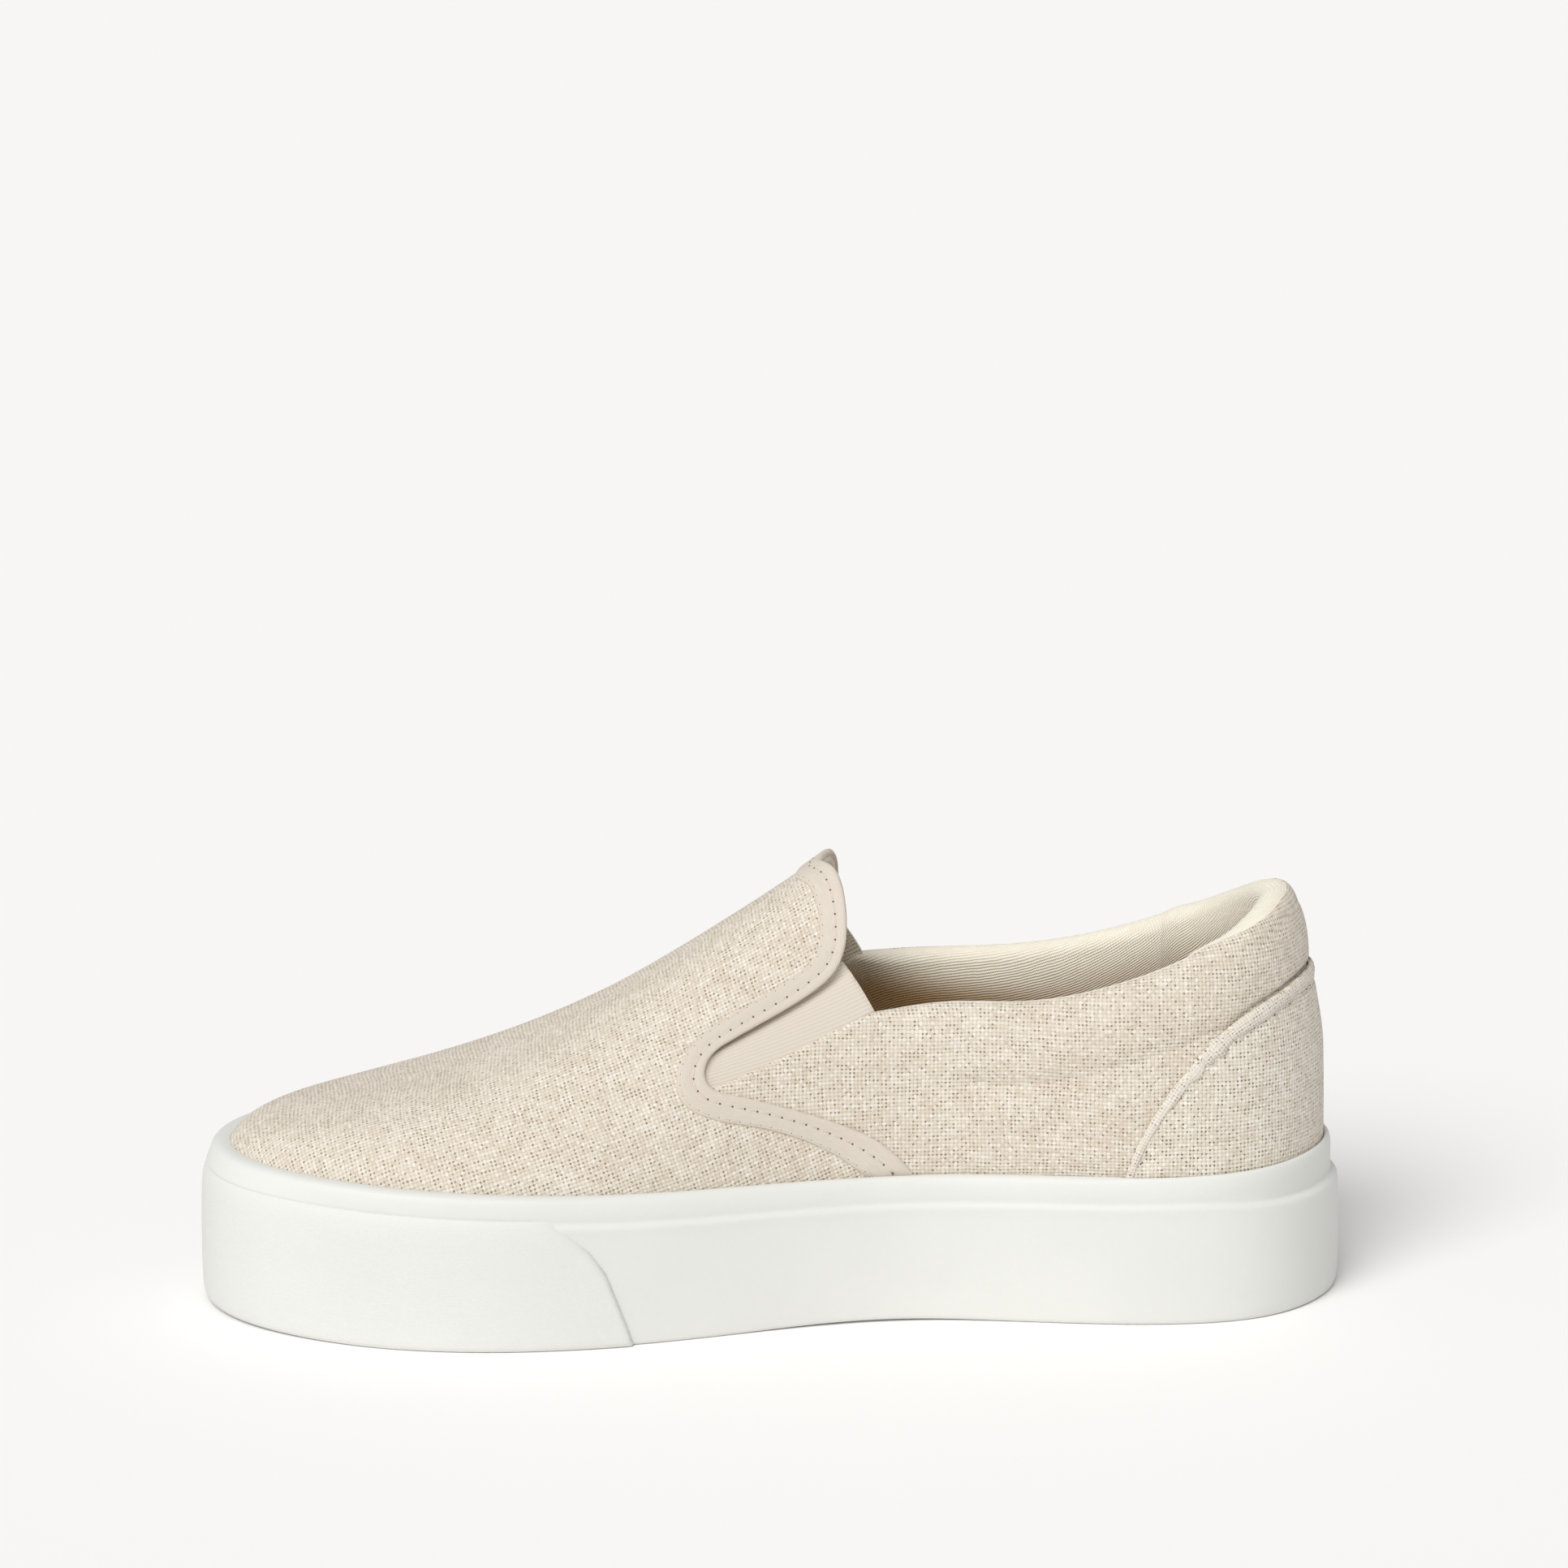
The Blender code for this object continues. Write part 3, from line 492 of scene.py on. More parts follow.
class ClothLengths:
    """How far cloth runs over the last in millimetres, for a weave of even pitch."""

    ROUNDS, SPEED_KEPT, PULL = 500, 0.9, 0.12
    ROWS, COLUMNS = 134, 27
    START, LEVEL = -60.0, 55.0

    def __init__(self) -> None:
        """Measures rays from the ridge to the feather edge, and flattens the vamp's cloth."""
        self.place = np.linspace(HEEL_BACK, TOE_FRONT, self.ROWS)
        self.step = self.place[1] - self.place[0]
        share = np.linspace(0, 1, self.COLUMNS)
        first = int(np.argmax(self.place > self.START))
        self.start = self.place[first]
        turn = np.clip((self.place[first:] - TOE_CENTRE) / TOE_QUARTER, 0, math.pi / 2)[:, None]
        self.up: dict[Side, Array] = {}
        self.round: dict[Side, Array] = {}
        worn, flat = [], []
        for side in Side:
            foot = np.stack(LAST.foot(self.place, side.value), axis=1)
            ridge = foot * 0
            ridge[:, 0] = np.clip(self.place, HEEL_CENTRE, TOE_CENTRE)
            spots = ridge[:, None] + (foot - ridge)[:, None] * share[:, None]
            grid = LAST.face(spots[..., 0], spots[..., 1])
            steps = np.linalg.norm(np.diff(grid, axis=1), axis=2)
            down = np.concatenate([np.zeros((len(foot), 1)), np.cumsum(steps, axis=1)], axis=1)
            self.up[side] = down[:, -1:] - down
            self.round[side] = walked(LAST.face(*LAST.at_height(self.place, side.value, self.LEVEL)))
            along = walked(grid[first:, 0])[:, None]
            reach = down[first:]
            worn.append(grid[first:])
            flat.append(np.stack(
                [along + reach * np.sin(turn), side.value * reach * np.cos(turn)], axis=-1))
        self.sheet = self.flattened(
            np.concatenate([flat[0], flat[1][-2::-1]]), np.concatenate([worn[0], worn[1][-2::-1]]))

    @classmethod
    def flattened(cls, flat: Array, worn: Array) -> Array:
        """Cloth coordinates eased until the cloth is stretched as evenly as it can be.

        Args:
            flat: a first guess, one pair of coordinates for each point of a grid.
            worn: where the points are on the last.

        Returns:
            The eased coordinates; the ridge, which is the grid's first column, stays.
        """
        every, low, high = slice(None), slice(None, -1), slice(1, None)
        ties = (((low, every), (high, every)), ((every, low), (every, high)),
                ((low, low), (high, high)), ((high, low), (low, high)))
        lengths = [np.linalg.norm(worn[one] - worn[other], axis=-1) for one, other in ties]
        speed = np.zeros_like(flat)
        for _ in range(cls.ROUNDS):
            push = np.zeros_like(flat)
            for (one, other), length in zip(ties, lengths):
                arm = flat[other] - flat[one]
                now = np.maximum(np.linalg.norm(arm, axis=-1), 1e-6)
                part = arm * ((1 - length / now) / 2)[..., None]
                push[one] += part
                push[other] -= part
            push[:, 0] = 0
            speed = speed * cls.SPEED_KEPT + push * cls.PULL
            flat = flat + speed
        return flat

    @staticmethod
    def between(grid: Array, row: Array, column: Array) -> Array:
        """Values of a grid between its rows and columns.

        Args:
            grid: the values.
            row: which row to read, with a fraction.
            column: which column to read, with a fraction.

        Returns:
            The values there.
        """
        i = np.clip(row.astype(int), 0, len(grid) - 2)
        j = np.clip(column.astype(int), 0, grid.shape[1] - 2)
        a, b = row - i, column - j
        if grid.ndim > 2:
            a, b = a[..., None], b[..., None]
        low = grid[i, j] * (1 - a) + grid[i + 1, j] * a
        high = grid[i, j + 1] * (1 - a) + grid[i + 1, j + 1] * a
        return low * (1 - b) + high * b

    def vamp(self, u: Array, v: Array) -> Array:
        """Cloth coordinates of unrolled places on the vamp.

        Args:
            u: how far along the shoe the unrolled places are.
            v: how far down from the ridge they are, signed by the side.

        Returns:
            How far along and across the cloth, in millimetres.
        """
        place, share = LAST.ray_of(u, v)
        row = (place - self.start) / self.step
        row = np.where(v < 0, len(self.sheet) - 1 - row, row)
        return self.between(self.sheet, row, share * (self.sheet.shape[1] - 1))

    def quarter(self, u: Array, v: Array) -> Array:
        """Cloth coordinates of unrolled places on the quarters: round from the heel, and up.

        Args:
            u: how far along the shoe the unrolled places are.
            v: how far down from the ridge they are, signed by the side.

        Returns:
            Those two distances in millimetres.
        """
        place, share = LAST.ray_of(u, v)
        row, column = (place - self.place[0]) / self.step, share * (self.sheet.shape[1] - 1)
        medial, lateral = (
            np.stack([self.around(place, side), self.between(self.up[side], row, column)], axis=-1)
            for side in Side)
        return np.where((v >= 0)[..., None], medial, lateral)

    def around(self, place: Array, side: Side) -> Array:
        """The distance round the quarters from the middle of the heel, signed by the side."""
        return np.interp(place, self.place, self.round[side]) * side.value


CLOTH = ClothLengths()


@dataclass(frozen=True)
class Crease:
    """A soft fold in the cloth, as a line on the unrolled last."""

    start: tuple[float, float]
    end: tuple[float, float]
    width: float
    depth: float

    def out(self, u: Array, v: Array) -> Array:
        """How far the fold moves each place outwards.

        Args:
            u: how far along the shoe the unrolled places are.
            v: how far down from the ridge they are, signed by the side.

        Returns:
            The distances in millimetres.
        """
        a, b = np.array(self.start), np.array(self.end)
        way = (b - a) / np.linalg.norm(b - a)
        along = (u - a[0]) * way[0] + (v - a[1]) * way[1]
        off = (u - a[0]) * -way[1] + (v - a[1]) * way[0]
        length = np.linalg.norm(b - a)
        fade = np.sin(np.clip(along / length, 0, 1) * math.pi) ** 2
        return self.depth * fade * np.exp(-(off / self.width) ** 2)


VAMP_CREASES = (
    Crease((34.0, 22.0), (10.0, 37.0), 5.0, -0.5),
    Crease((26.0, 10.0), (2.0, 34.0), 6.0, 0.35),
    Crease((52.0, 30.0), (24.0, 52.0), 7.0, -0.35),
    Crease((58.0, 48.0), (22.0, 62.0), 5.0, 0.3),
    Crease((70.0, -22.0), (30.0, -46.0), 7.0, -0.35),
    Crease((44.0, -14.0), (12.0, -36.0), 6.0, -0.4),
    Crease((60.0, -6.0), (48.0, 16.0), 8.0, -0.3),
    Crease((98.0, 20.0), (80.0, 44.0), 6.0, 0.25),
    Crease((112.0, -8.0), (104.0, 22.0), 7.0, -0.2),
)
QUARTER_CREASES = (
    Crease((-24.0, 57.0), (-70.0, 64.5), 1.1, -0.35),
    Crease((-30.0, 63.0), (-84.0, 68.5), 1.8, -0.3),
    Crease((-6.0, 52.0), (-40.0, 60.0), 1.6, 0.3),
    Crease((-24.0, -57.0), (-70.0, -64.5), 1.2, -0.35),
    Crease((-34.0, -63.0), (-80.0, -68.5), 1.6, -0.3),
)


def relief(creases: Sequence[Crease], u: Array, v: Array) -> Array:
    """The sum of the creases at unrolled places."""
    return sum((crease.out(u, v) for crease in creases), np.zeros(np.shape(u)))


class Shade:
    """A number that varies over a surface: a shader socket with arithmetic."""

    def __init__(self, book: "NodeBook", socket: Any) -> None:
        """Wraps a socket of the book's tree."""
        self.book, self.socket = book, socket

    def math(self, operation: str, *others: Any) -> "Shade":
        """A Math node on this number and others."""
        values = dict(enumerate((self, *others)))
        return self.book.make("ShaderNodeMath", {"operation": operation}, values)

    def __add__(self, other: Any) -> "Shade":
        """Sum."""
        return self.math("ADD", other)

    def __radd__(self, other: Any) -> "Shade":
        """Sum, the other way round."""
        return self.math("ADD", other)

    def __sub__(self, other: Any) -> "Shade":
        """Difference."""
        return self.math("SUBTRACT", other)

    def __rsub__(self, other: Any) -> "Shade":
        """Difference, the other way round."""
        return self.book.make("ShaderNodeMath", {"operation": "SUBTRACT"}, {0: other, 1: self})

    def __mul__(self, other: Any) -> "Shade":
        """Product."""
        return self.math("MULTIPLY", other)

    def __rmul__(self, other: Any) -> "Shade":
        """Product, the other way round."""
        return self.math("MULTIPLY", other)

    def __truediv__(self, other: Any) -> "Shade":
        """Quotient."""
        return self.math("DIVIDE", other)

    def __pow__(self, other: Any) -> "Shade":
        """Power."""
        return self.math("POWER", other)

    def floor(self) -> "Shade":
        """The whole number below."""
        return self.math("FLOOR")

    def centred(self) -> "Shade":
        """The place within a cell, from -0.5 to 0.5."""
        return self.math("FRACT") - 0.5

    def smooth(self, low: float, high: float) -> "Shade":
        """A smooth step from 0 at low to 1 at high.

        Args:
            low: where the step starts.
            high: where it ends; with high below low it falls.

        Returns:
            The step.
        """
        settings = {"interpolation_type": "SMOOTHSTEP"}
        flip = low > high
        values = {"Value": self, "From Min": min(low, high), "From Max": max(low, high)}
        step = self.book.make("ShaderNodeMapRange", settings, values)
        return 1.0 - step if flip else step


class NodeBook:
    """One material's node tree, with one way to make its nodes."""

    def __init__(self, name: str) -> None:
        """Starts a material with a Principled shader.

        Args:
            name: the material's name.
        """
        self.material = bpy.data.materials.new(name)
        self.material.use_nodes = True
        self.tree = self.material.node_tree
        self.shader = self.tree.nodes["Principled BSDF"]

    def make(self, kind: str, settings: dict[str, Any], values: dict[Any, Any], out: Any = 0) -> Shade:
        """Makes a node.

        Args:
            kind: the node's type.
            settings: its properties, set first; stops are a ramp's places and colours.
            values: numbers, colours or Shades for its input sockets.
            out: which output to give back.

        Returns:
            The node's output.
        """
        node = self.tree.nodes.new(kind)
        for key, value in settings.items():
            if key == "stops":
                ramp = node.color_ramp.elements
                while len(ramp) < len(value):
                    ramp.new(0.5)
                for element, (place, colour) in zip(ramp, value):
                    element.position, element.color = place, (*colour, 1.0)
            else:
                setattr(node, key, value)
        for key, value in values.items():
            self.feed(node.inputs[key], value)
        return Shade(self, node.outputs[out])

    def feed(self, socket: Any, value: Any) -> None:
        """Links or sets one input socket.

        Args:
            socket: the input socket.
            value: a Shade to link, or a colour or number to set.
        """
        if isinstance(value, Shade):
            self.tree.links.new(value.socket, socket)
        elif isinstance(value, tuple) and len(value) == 3 and socket.type == "RGBA":
            socket.default_value = (*value, 1.0)
        else:
            socket.default_value = value

    def vector(self, x: Any, y: Any, z: Any = 0.0) -> Shade:
        """A vector from three numbers."""
        return self.make("ShaderNodeCombineXYZ", {}, {0: x, 1: y, 2: z})

    def noise(self, vector: Shade, scale: float, detail: float = 2.0, rough: float = 0.5) -> Shade:
        """Noise from 0 to 1 at a vector."""
        values = {"Vector": vector, "Scale": scale, "Detail": detail, "Roughness": rough}
        return self.make("ShaderNodeTexNoise", {}, values)

    def over_cloth(
        self, place: tuple[Any, Any], layer: float, scale: float, detail: float = 2.0, rough: float = 0.5,
    ) -> Shade:
        """Noise from 0 to 1 over the cloth; each layer is another noise."""
        return self.noise(self.vector(*place, layer), scale, detail, rough)

    def ramp(self, share: Shade, *stops: tuple[float, tuple[float, float, float]]) -> Shade:
        """The colour at a share of the way through stops, each a place and its colour."""
        return self.make("ShaderNodeValToRGB", {"stops": stops}, {0: share})

    def chance(self, vector: Shade) -> Shade:
        """An even random number for each vector."""
        return self.make("ShaderNodeTexWhiteNoise", {"noise_dimensions": "3D"}, {"Vector": vector})

    def blend(self, share: Any, one: Any, other: Any) -> Shade:
        """A mix of two colours."""
        return self.make("ShaderNodeMix", {"data_type": "RGBA"}, {0: share, 6: one, 7: other}, out=2)

    def object_place(self) -> Shade:
        """The place on the object, in metres."""
        return self.make("ShaderNodeTexCoord", {}, {}, out="Object")

    def split(self, vector: Shade) -> list[Shade]:
        """The three numbers of a vector."""
        x = self.make("ShaderNodeSeparateXYZ", {}, {0: vector})
        return [Shade(self, socket) for socket in x.socket.node.outputs]

    def cloth_place(self) -> tuple[Shade, Shade]:
        """How far along and up the cloth, in millimetres."""
        along, up, _ = self.split(self.make("ShaderNodeUVMap", {"uv_map": CLOTH_MAP}, {}))
        return along, up

    def bump(self, height: Shade, distance: float) -> Shade:
        """A bumped normal from a height."""
        return self.make("ShaderNodeBump", {}, {"Height": height, "Distance": distance, "Strength": 1.0})

    def finish(self, colour: Any, roughness: Any, normal: Any = None, **fixed: Any) -> bpy.types.Material:
        """Feeds the shader.

        Args:
            colour: the base colour.
            roughness: the roughness.
            normal: the bumped normal, if there is one.
            fixed: numbers and colours that are the same all over, with _ for a blank.

        Returns:
            The finished material.
        """
        self.feed(self.shader.inputs["Base Color"], colour)
        self.feed(self.shader.inputs["Roughness"], roughness)
        if normal is not None:
            self.feed(self.shader.inputs["Normal"], normal)
        for key, value in fixed.items():
            self.feed(self.shader.inputs[key.replace("_", " ")], value)
        return self.material


@dataclass(frozen=True)
class ClothFinish:
    """A woven cloth: its weave, its yarns' colours, and their pitch and relief in millimetres.

    The pinhole colour is painted shade, for the dark gaps between some yarns and along their sunken edges.
    The deep colour is painted shade for the lining low inside the shoe, out of the light.
    """

    name: str
    slot: str
    weave: Weave
    light: tuple[float, float, float]
    middle: tuple[float, float, float]
    dark: tuple[float, float, float]
    pitch: float
    relief: float
    # Painted shade: the dark colour of the pinholes and the yarns' sunken edges.
    pinhole_shade: Optional[tuple[float, float, float]] = None
    melange: float = 1.0
    deep_shade: Optional[tuple[float, float, float]] = None

    def build(self) -> bpy.types.Material:
        """The cloth as a material.

        Returns:
            The new material.
        """
        book = NodeBook(self.name)
        along, up = book.cloth_place()
        makers = {Weave.PLAIN: self.plain, Weave.TWILL: self.twill, Weave.RIBBED: self.ribbed}
        return makers[self.weave](book, along, up)

    def plain(self, book: NodeBook, along: Shade, up: Shade) -> bpy.types.Material:
        """Plain weave of uneven, mixed yarns, with painted shade in pinholes between some of them, painted
        light on their crowns and a few painted highlights.

        Args:
            book: the material's nodes.
            along: how far along the cloth.
            up: how far up the cloth.

        Returns:
            The finished material.
        """
        here = along, up
        drift = book.over_cloth(here, 1.3, 0.05, 1.0)
        drift_up = book.over_cloth(here, 9.7, 0.05, 1.0)
        x = along / self.pitch + (drift - 0.5) * 1.8
        y = up / self.pitch + (drift_up - 0.5) * 1.8
        i, j = x.floor(), y.floor()
        across, upward = x.centred(), y.centred()
        over = 1.0 - (i + j).math("FLOORED_MODULO", 2.0) * 2.0
        warp = (1.0 - across * across * 4.0) * 0.55 + over * (upward * math.pi).math("COSINE") * 0.45
        weft = (1.0 - upward * upward * 4.0) * 0.55 - over * (across * math.pi).math("COSINE") * 0.45
        slub_warp = book.noise(book.vector(i * 5.31, y * 0.16, 2.0), 1.0, 2.0)
        slub_weft = book.noise(book.vector(x * 0.16, j * 5.31, 8.0), 1.0, 2.0)
        warp = warp + (slub_warp - 0.5) * 0.4
        weft = weft + (slub_weft - 0.5) * 0.4
        height = warp.math("MAXIMUM", weft)
        on_top = (warp - weft).smooth(-0.06, 0.06)
        tone = slub_weft + (slub_warp - slub_weft) * on_top
        aside = across.math("ABSOLUTE")
        aside = aside + (upward.math("ABSOLUTE") - aside) * (1.0 - on_top)
        # Painted light: 1 on each yarn's crown and 0 at its edges, lightening the colour on the crown.
        crown = 1.0 - aside * aside * 4.0
        cell = book.chance(book.vector(i, j, 3.0))
        # Painted highlights: a random few yarn crossings get a light fleck on their tops.
        painted_glint = cell.smooth(0.62, 0.95) * height.smooth(0.5, 0.95)
        fibre = book.over_cloth(here, 4.0, 3.6, 3.0, 0.7)
        patch = book.over_cloth(here, 5.0, 0.06, 3.0, 0.6)
        mix = (tone - 0.5) * 1.2 * self.melange + (cell - 0.5) * 0.1 * self.melange + painted_glint * 0.16
        mix = mix + (fibre - 0.5) * 0.5 + (patch - 0.5) * 0.3 + crown * 0.34 + 0.33
        colour = book.ramp(mix, (0.12, self.dark), (0.5, self.middle), (0.9, self.light))
        corner_x, corner_y = x + 0.5, y + 0.5
        gap = corner_x.centred() ** 2.0 + corner_y.centred() ** 2.0
        luck = book.chance(book.vector(corner_x.floor(), corner_y.floor(), 6.0))
        # Painted shade: dark dots in the gaps where yarns cross, at a random share of the corners.
        hole = gap.smooth(0.1, 0.012) * (0.07 + 0.93 * luck.smooth(0.4, 1.0))
        # Painted shade: each yarn darkens towards its edges, where it dips under the next.
        yarn_edge_shade = aside.smooth(0.34, 0.5) * (0.07 + 0.26 * fibre)
        # Painted shade: the pinholes and the yarns' edges take the dark pinhole colour.
        colour = book.blend(hole.math("MAXIMUM", yarn_edge_shade), colour, self.pinhole_shade)
        rise = height - hole * 0.7 + (fibre - 0.5) * 0.5
        normal = book.bump(rise, self.relief * MM)
        return book.finish(colour, 0.92, normal, Sheen_Weight=0.1, Sheen_Roughness=0.5)

    def twill(self, book: NodeBook, along: Shade, up: Shade) -> bpy.types.Material:
        """Twill: fine raised lines that run a little aslant; with a deep colour, painted shade darkens it
        low inside the shoe.

        Args:
            book: the material's nodes.
            along: how far along the cloth.
            up: how far up the cloth.

        Returns:
            The finished material.
        """
        here = along, up
        drift = book.over_cloth(here, 2.2, 0.2, 2.0)
        line = (up + along * 0.07) / self.pitch + (drift - 0.5) * 1.2
        ridge = (line.centred() * (2.0 * math.pi)).math("COSINE")
        step = (along + up * 0.6) / (self.pitch * 0.8)
        float_ = (step.centred() * (2.0 * math.pi)).math("COSINE")
        thread = book.noise(book.vector(along * 0.35, line.floor() * 4.1, 1.0), 1.0, 2.0)
        fibre = book.over_cloth(here, 4.0, 4.0, 3.0, 0.7)
        patch = book.over_cloth(here, 5.0, 0.07, 2.0)
        mix = ridge * 0.20 + (thread - 0.5) * 0.9 + (fibre - 0.5) * 0.5 + (patch - 0.5) * 0.4 + 0.5
        colour = book.ramp(mix, (0.0, self.dark), (0.5, self.middle), (1.0, self.light))
        # Painted shade: low down and towards the toe the lining turns tan-brown, where the inside of the
        # shoe is out of the light.
        if self.deep_shade:
            x, _, z = book.split(book.object_place())
            colour = book.blend((z - x * 0.164).smooth(0.079, 0.068), colour, self.deep_shade)
        height = ridge * 0.5 + float_ * 0.18 + (fibre - 0.5) * 0.5
        normal = book.bump(height, self.relief * MM)
        return book.finish(colour, 0.9, normal, Sheen_Weight=0.1, Sheen_Roughness=0.5)

    def ribbed(self, book: NodeBook, along: Shade, up: Shade) -> bpy.types.Material:
        """Woven elastic: ribs along it, crossed by fine threads.

        Args:
            book: the material's nodes.
            along: how far along the cloth.
            up: how far up the cloth.

        Returns:
            The finished material.
        """
        here = along, up
        drift = book.over_cloth(here, 2.2, 0.3, 1.0)
        line = (up + along * 0.12) / self.pitch + (drift - 0.5) * 0.3
        ridge = (line.centred() * math.pi).math("COSINE")
        cross = ((along / (self.pitch * 0.7)).centred() * math.pi).math("COSINE")
        fibre = book.over_cloth(here, 4.0, 4.0, 3.0, 0.7)
        mix = ridge * 0.45 + cross * 0.15 + (fibre - 0.5) * 0.5 + 0.2
        colour = book.ramp(mix, (0.0, self.dark), (0.45, self.middle), (1.0, self.light))
        normal = book.bump(ridge + cross * 0.25 + (fibre - 0.5) * 0.4, self.relief * MM)
        return book.finish(colour, 0.88, normal, Sheen_Weight=0.1, Sheen_Roughness=0.4)


@dataclass(frozen=True)
class RubberFinish:
    """White rubber: its colours, gloss and the pitch and depth of a fine diamond texture."""

    name: str
    slot: str
    light: tuple[float, float, float]
    dark: tuple[float, float, float]
    roughness: float
    knurl: float = 0.0
    pitch: float = 1.1
    wrapped: bool = True

    def build(self) -> bpy.types.Material:
        """The rubber as a material.

        Returns:
            The new material.
        """
        book = NodeBook(self.name)
        place = book.object_place()
        cloud = book.noise(place, 28.0, 3.0, 0.55)
        grain = book.noise(place, 900.0, 3.0, 0.6)
        speck = book.noise(place, 260.0, 2.0, 0.5)
        colour = book.blend((cloud * 0.7 + grain * 0.3).smooth(0.3, 0.7), self.dark, self.light)
        height = (grain - 0.5) * 0.35 + (cloud - 0.5) * 1.5
        if self.knurl:
            along, up = book.cloth_place()
            if not self.wrapped:
                along, up = (part * MM_PER_METRE for part in book.split(place)[:2])
            turn = 2.0 * math.pi / self.pitch
            lines = ((along + up) * turn).math("SINE") * ((along - up) * turn).math("SINE")
            height = height + lines * self.knurl
        rough = self.roughness + (speck - 0.5) * 0.14 + (cloud - 0.5) * 0.1
        return book.finish(colour, rough, book.bump(height, 0.1 * MM), Specular_IOR_Level=0.25)


@dataclass(frozen=True)
class ThreadFinish:
    """Sewing thread, or the shadow in its needle holes."""

    name: str
    slot: str
    colour: tuple[float, float, float]
    roughness: float = 0.8

    def build(self) -> bpy.types.Material:
        """The thread as a material, with the twist of its plies.

        Returns:
            The new material.
        """
        book = NodeBook(self.name)
        place = book.object_place()
        twist = book.noise(place, 2600.0, 2.0, 0.5)
        dim = tuple(part * 0.78 for part in self.colour)
        colour = book.blend(twist, dim, self.colour)
        return book.finish(colour, self.roughness, book.bump(twist, 0.08 * MM))


CANVAS = ClothFinish(
    "canvas_weave", "canvas", Weave.PLAIN, (0.809, 0.758, 0.675), (0.673, 0.599, 0.492),
    (0.546, 0.458, 0.357), 0.94, 0.17, (0.31, 0.235, 0.16))
COUNTER_CANVAS = ClothFinish(
    "counter_weave", "canvas_counter", Weave.PLAIN, (0.850, 0.812, 0.730), (0.705, 0.639, 0.533),
    (0.565, 0.485, 0.384), 0.94, 0.18, (0.240, 0.173, 0.110))
PIPING = ClothFinish(
    "turned_edge", "canvas_counter", Weave.PLAIN, (0.79, 0.75, 0.67), (0.715, 0.66, 0.575),
    (0.63, 0.565, 0.475), 0.85, 0.13, (0.36, 0.28, 0.19), 0.7)
TAPE = ClothFinish(
    "tape_twill", "tape", Weave.TWILL, (0.697, 0.635, 0.549), (0.659, 0.592, 0.506),
    (0.611, 0.54, 0.454), 0.42, 0.05)
# Its last colour is painted shade: the tan-brown of the lining low inside the shoe, out of the light.
LINING = ClothFinish(
    "lining_twill", "lining", Weave.TWILL, (0.95, 0.91, 0.80), (0.92, 0.865, 0.73),
    (0.83, 0.755, 0.60), 0.75, 0.12, deep_shade=(0.50, 0.335, 0.165))
FOOTBED = ClothFinish(
    "footbed_cloth", "lining", Weave.PLAIN, (0.60, 0.44, 0.27), (0.53, 0.375, 0.21),
    (0.45, 0.31, 0.165), 0.5, 0.08, (0.3, 0.2, 0.12), 0.5)
ELASTIC = ClothFinish(
    "elastic_ribs", "elastic", Weave.RIBBED, (0.688, 0.626, 0.54), (0.649, 0.583, 0.497),
    (0.583, 0.511, 0.425), 0.72, 0.07)
RUBBER = RubberFinish("band_rubber", "white_rubber", (0.735, 0.74, 0.706), (0.712, 0.717, 0.683), 0.5)
BUMPER_RUBBER = RubberFinish(
    "bumper_rubber", "white_rubber", (0.735, 0.74, 0.707), (0.712, 0.717, 0.684), 0.52, 0.2)
TREAD_RUBBER = RubberFinish(
    "tread_rubber", "tread_rubber", (0.75, 0.75, 0.71), (0.71, 0.71, 0.67), 0.55, 0.6, 2.4, False)
THREAD = ThreadFinish("sewing_thread", "tape", (0.72, 0.65, 0.55))
CANVAS_THREAD = ThreadFinish("canvas_thread", "canvas", (0.74, 0.685, 0.59))
# Painted shadow: the dark colour of the marks put in the needle holes.
NEEDLE_HOLE_SHADE = ThreadFinish("needle_hole", "tape", (0.17, 0.12, 0.08), 0.95)


class Wardrobe:
    """Makes each finish once."""

    made: dict[str, bpy.types.Material] = {}

    @classmethod
    def get(cls, finish: Any) -> bpy.types.Material:
        """The material of a finish.

        Args:
            finish: the finish.

        Returns:
            Its material, which is made the first time.
        """
        if finish.name not in cls.made:
            cls.made[finish.name] = finish.build()
        return cls.made[finish.name]


def placed(name: str, data: Any) -> bpy.types.Object:
    """Adds an object to the scene, at the origin.

    Args:
        name: the object's name.
        data: its mesh, light or camera.

    Returns:
        The new object.
    """
    made = bpy.data.objects.new(name, data)
    bpy.context.collection.objects.link(made)
    return made


def volume_sign(points: Array, faces: Sequence[Sequence[int]]) -> float:
    """Positive where a closed surface's faces point outwards.

    Args:
        points: the surface's points.
        faces: its faces as rows of point numbers.

    Returns:
        A number with the sign of the volume that the faces hold.
    """
    triangles = [(f[0], f[k], f[k + 1]) for f in faces for k in range(1, len(f) - 1)]
    a, b, c = (points[np.array(triangles)[:, k]] for k in range(3))
    return float(np.einsum("ij,ij->", a, np.cross(b, c)))


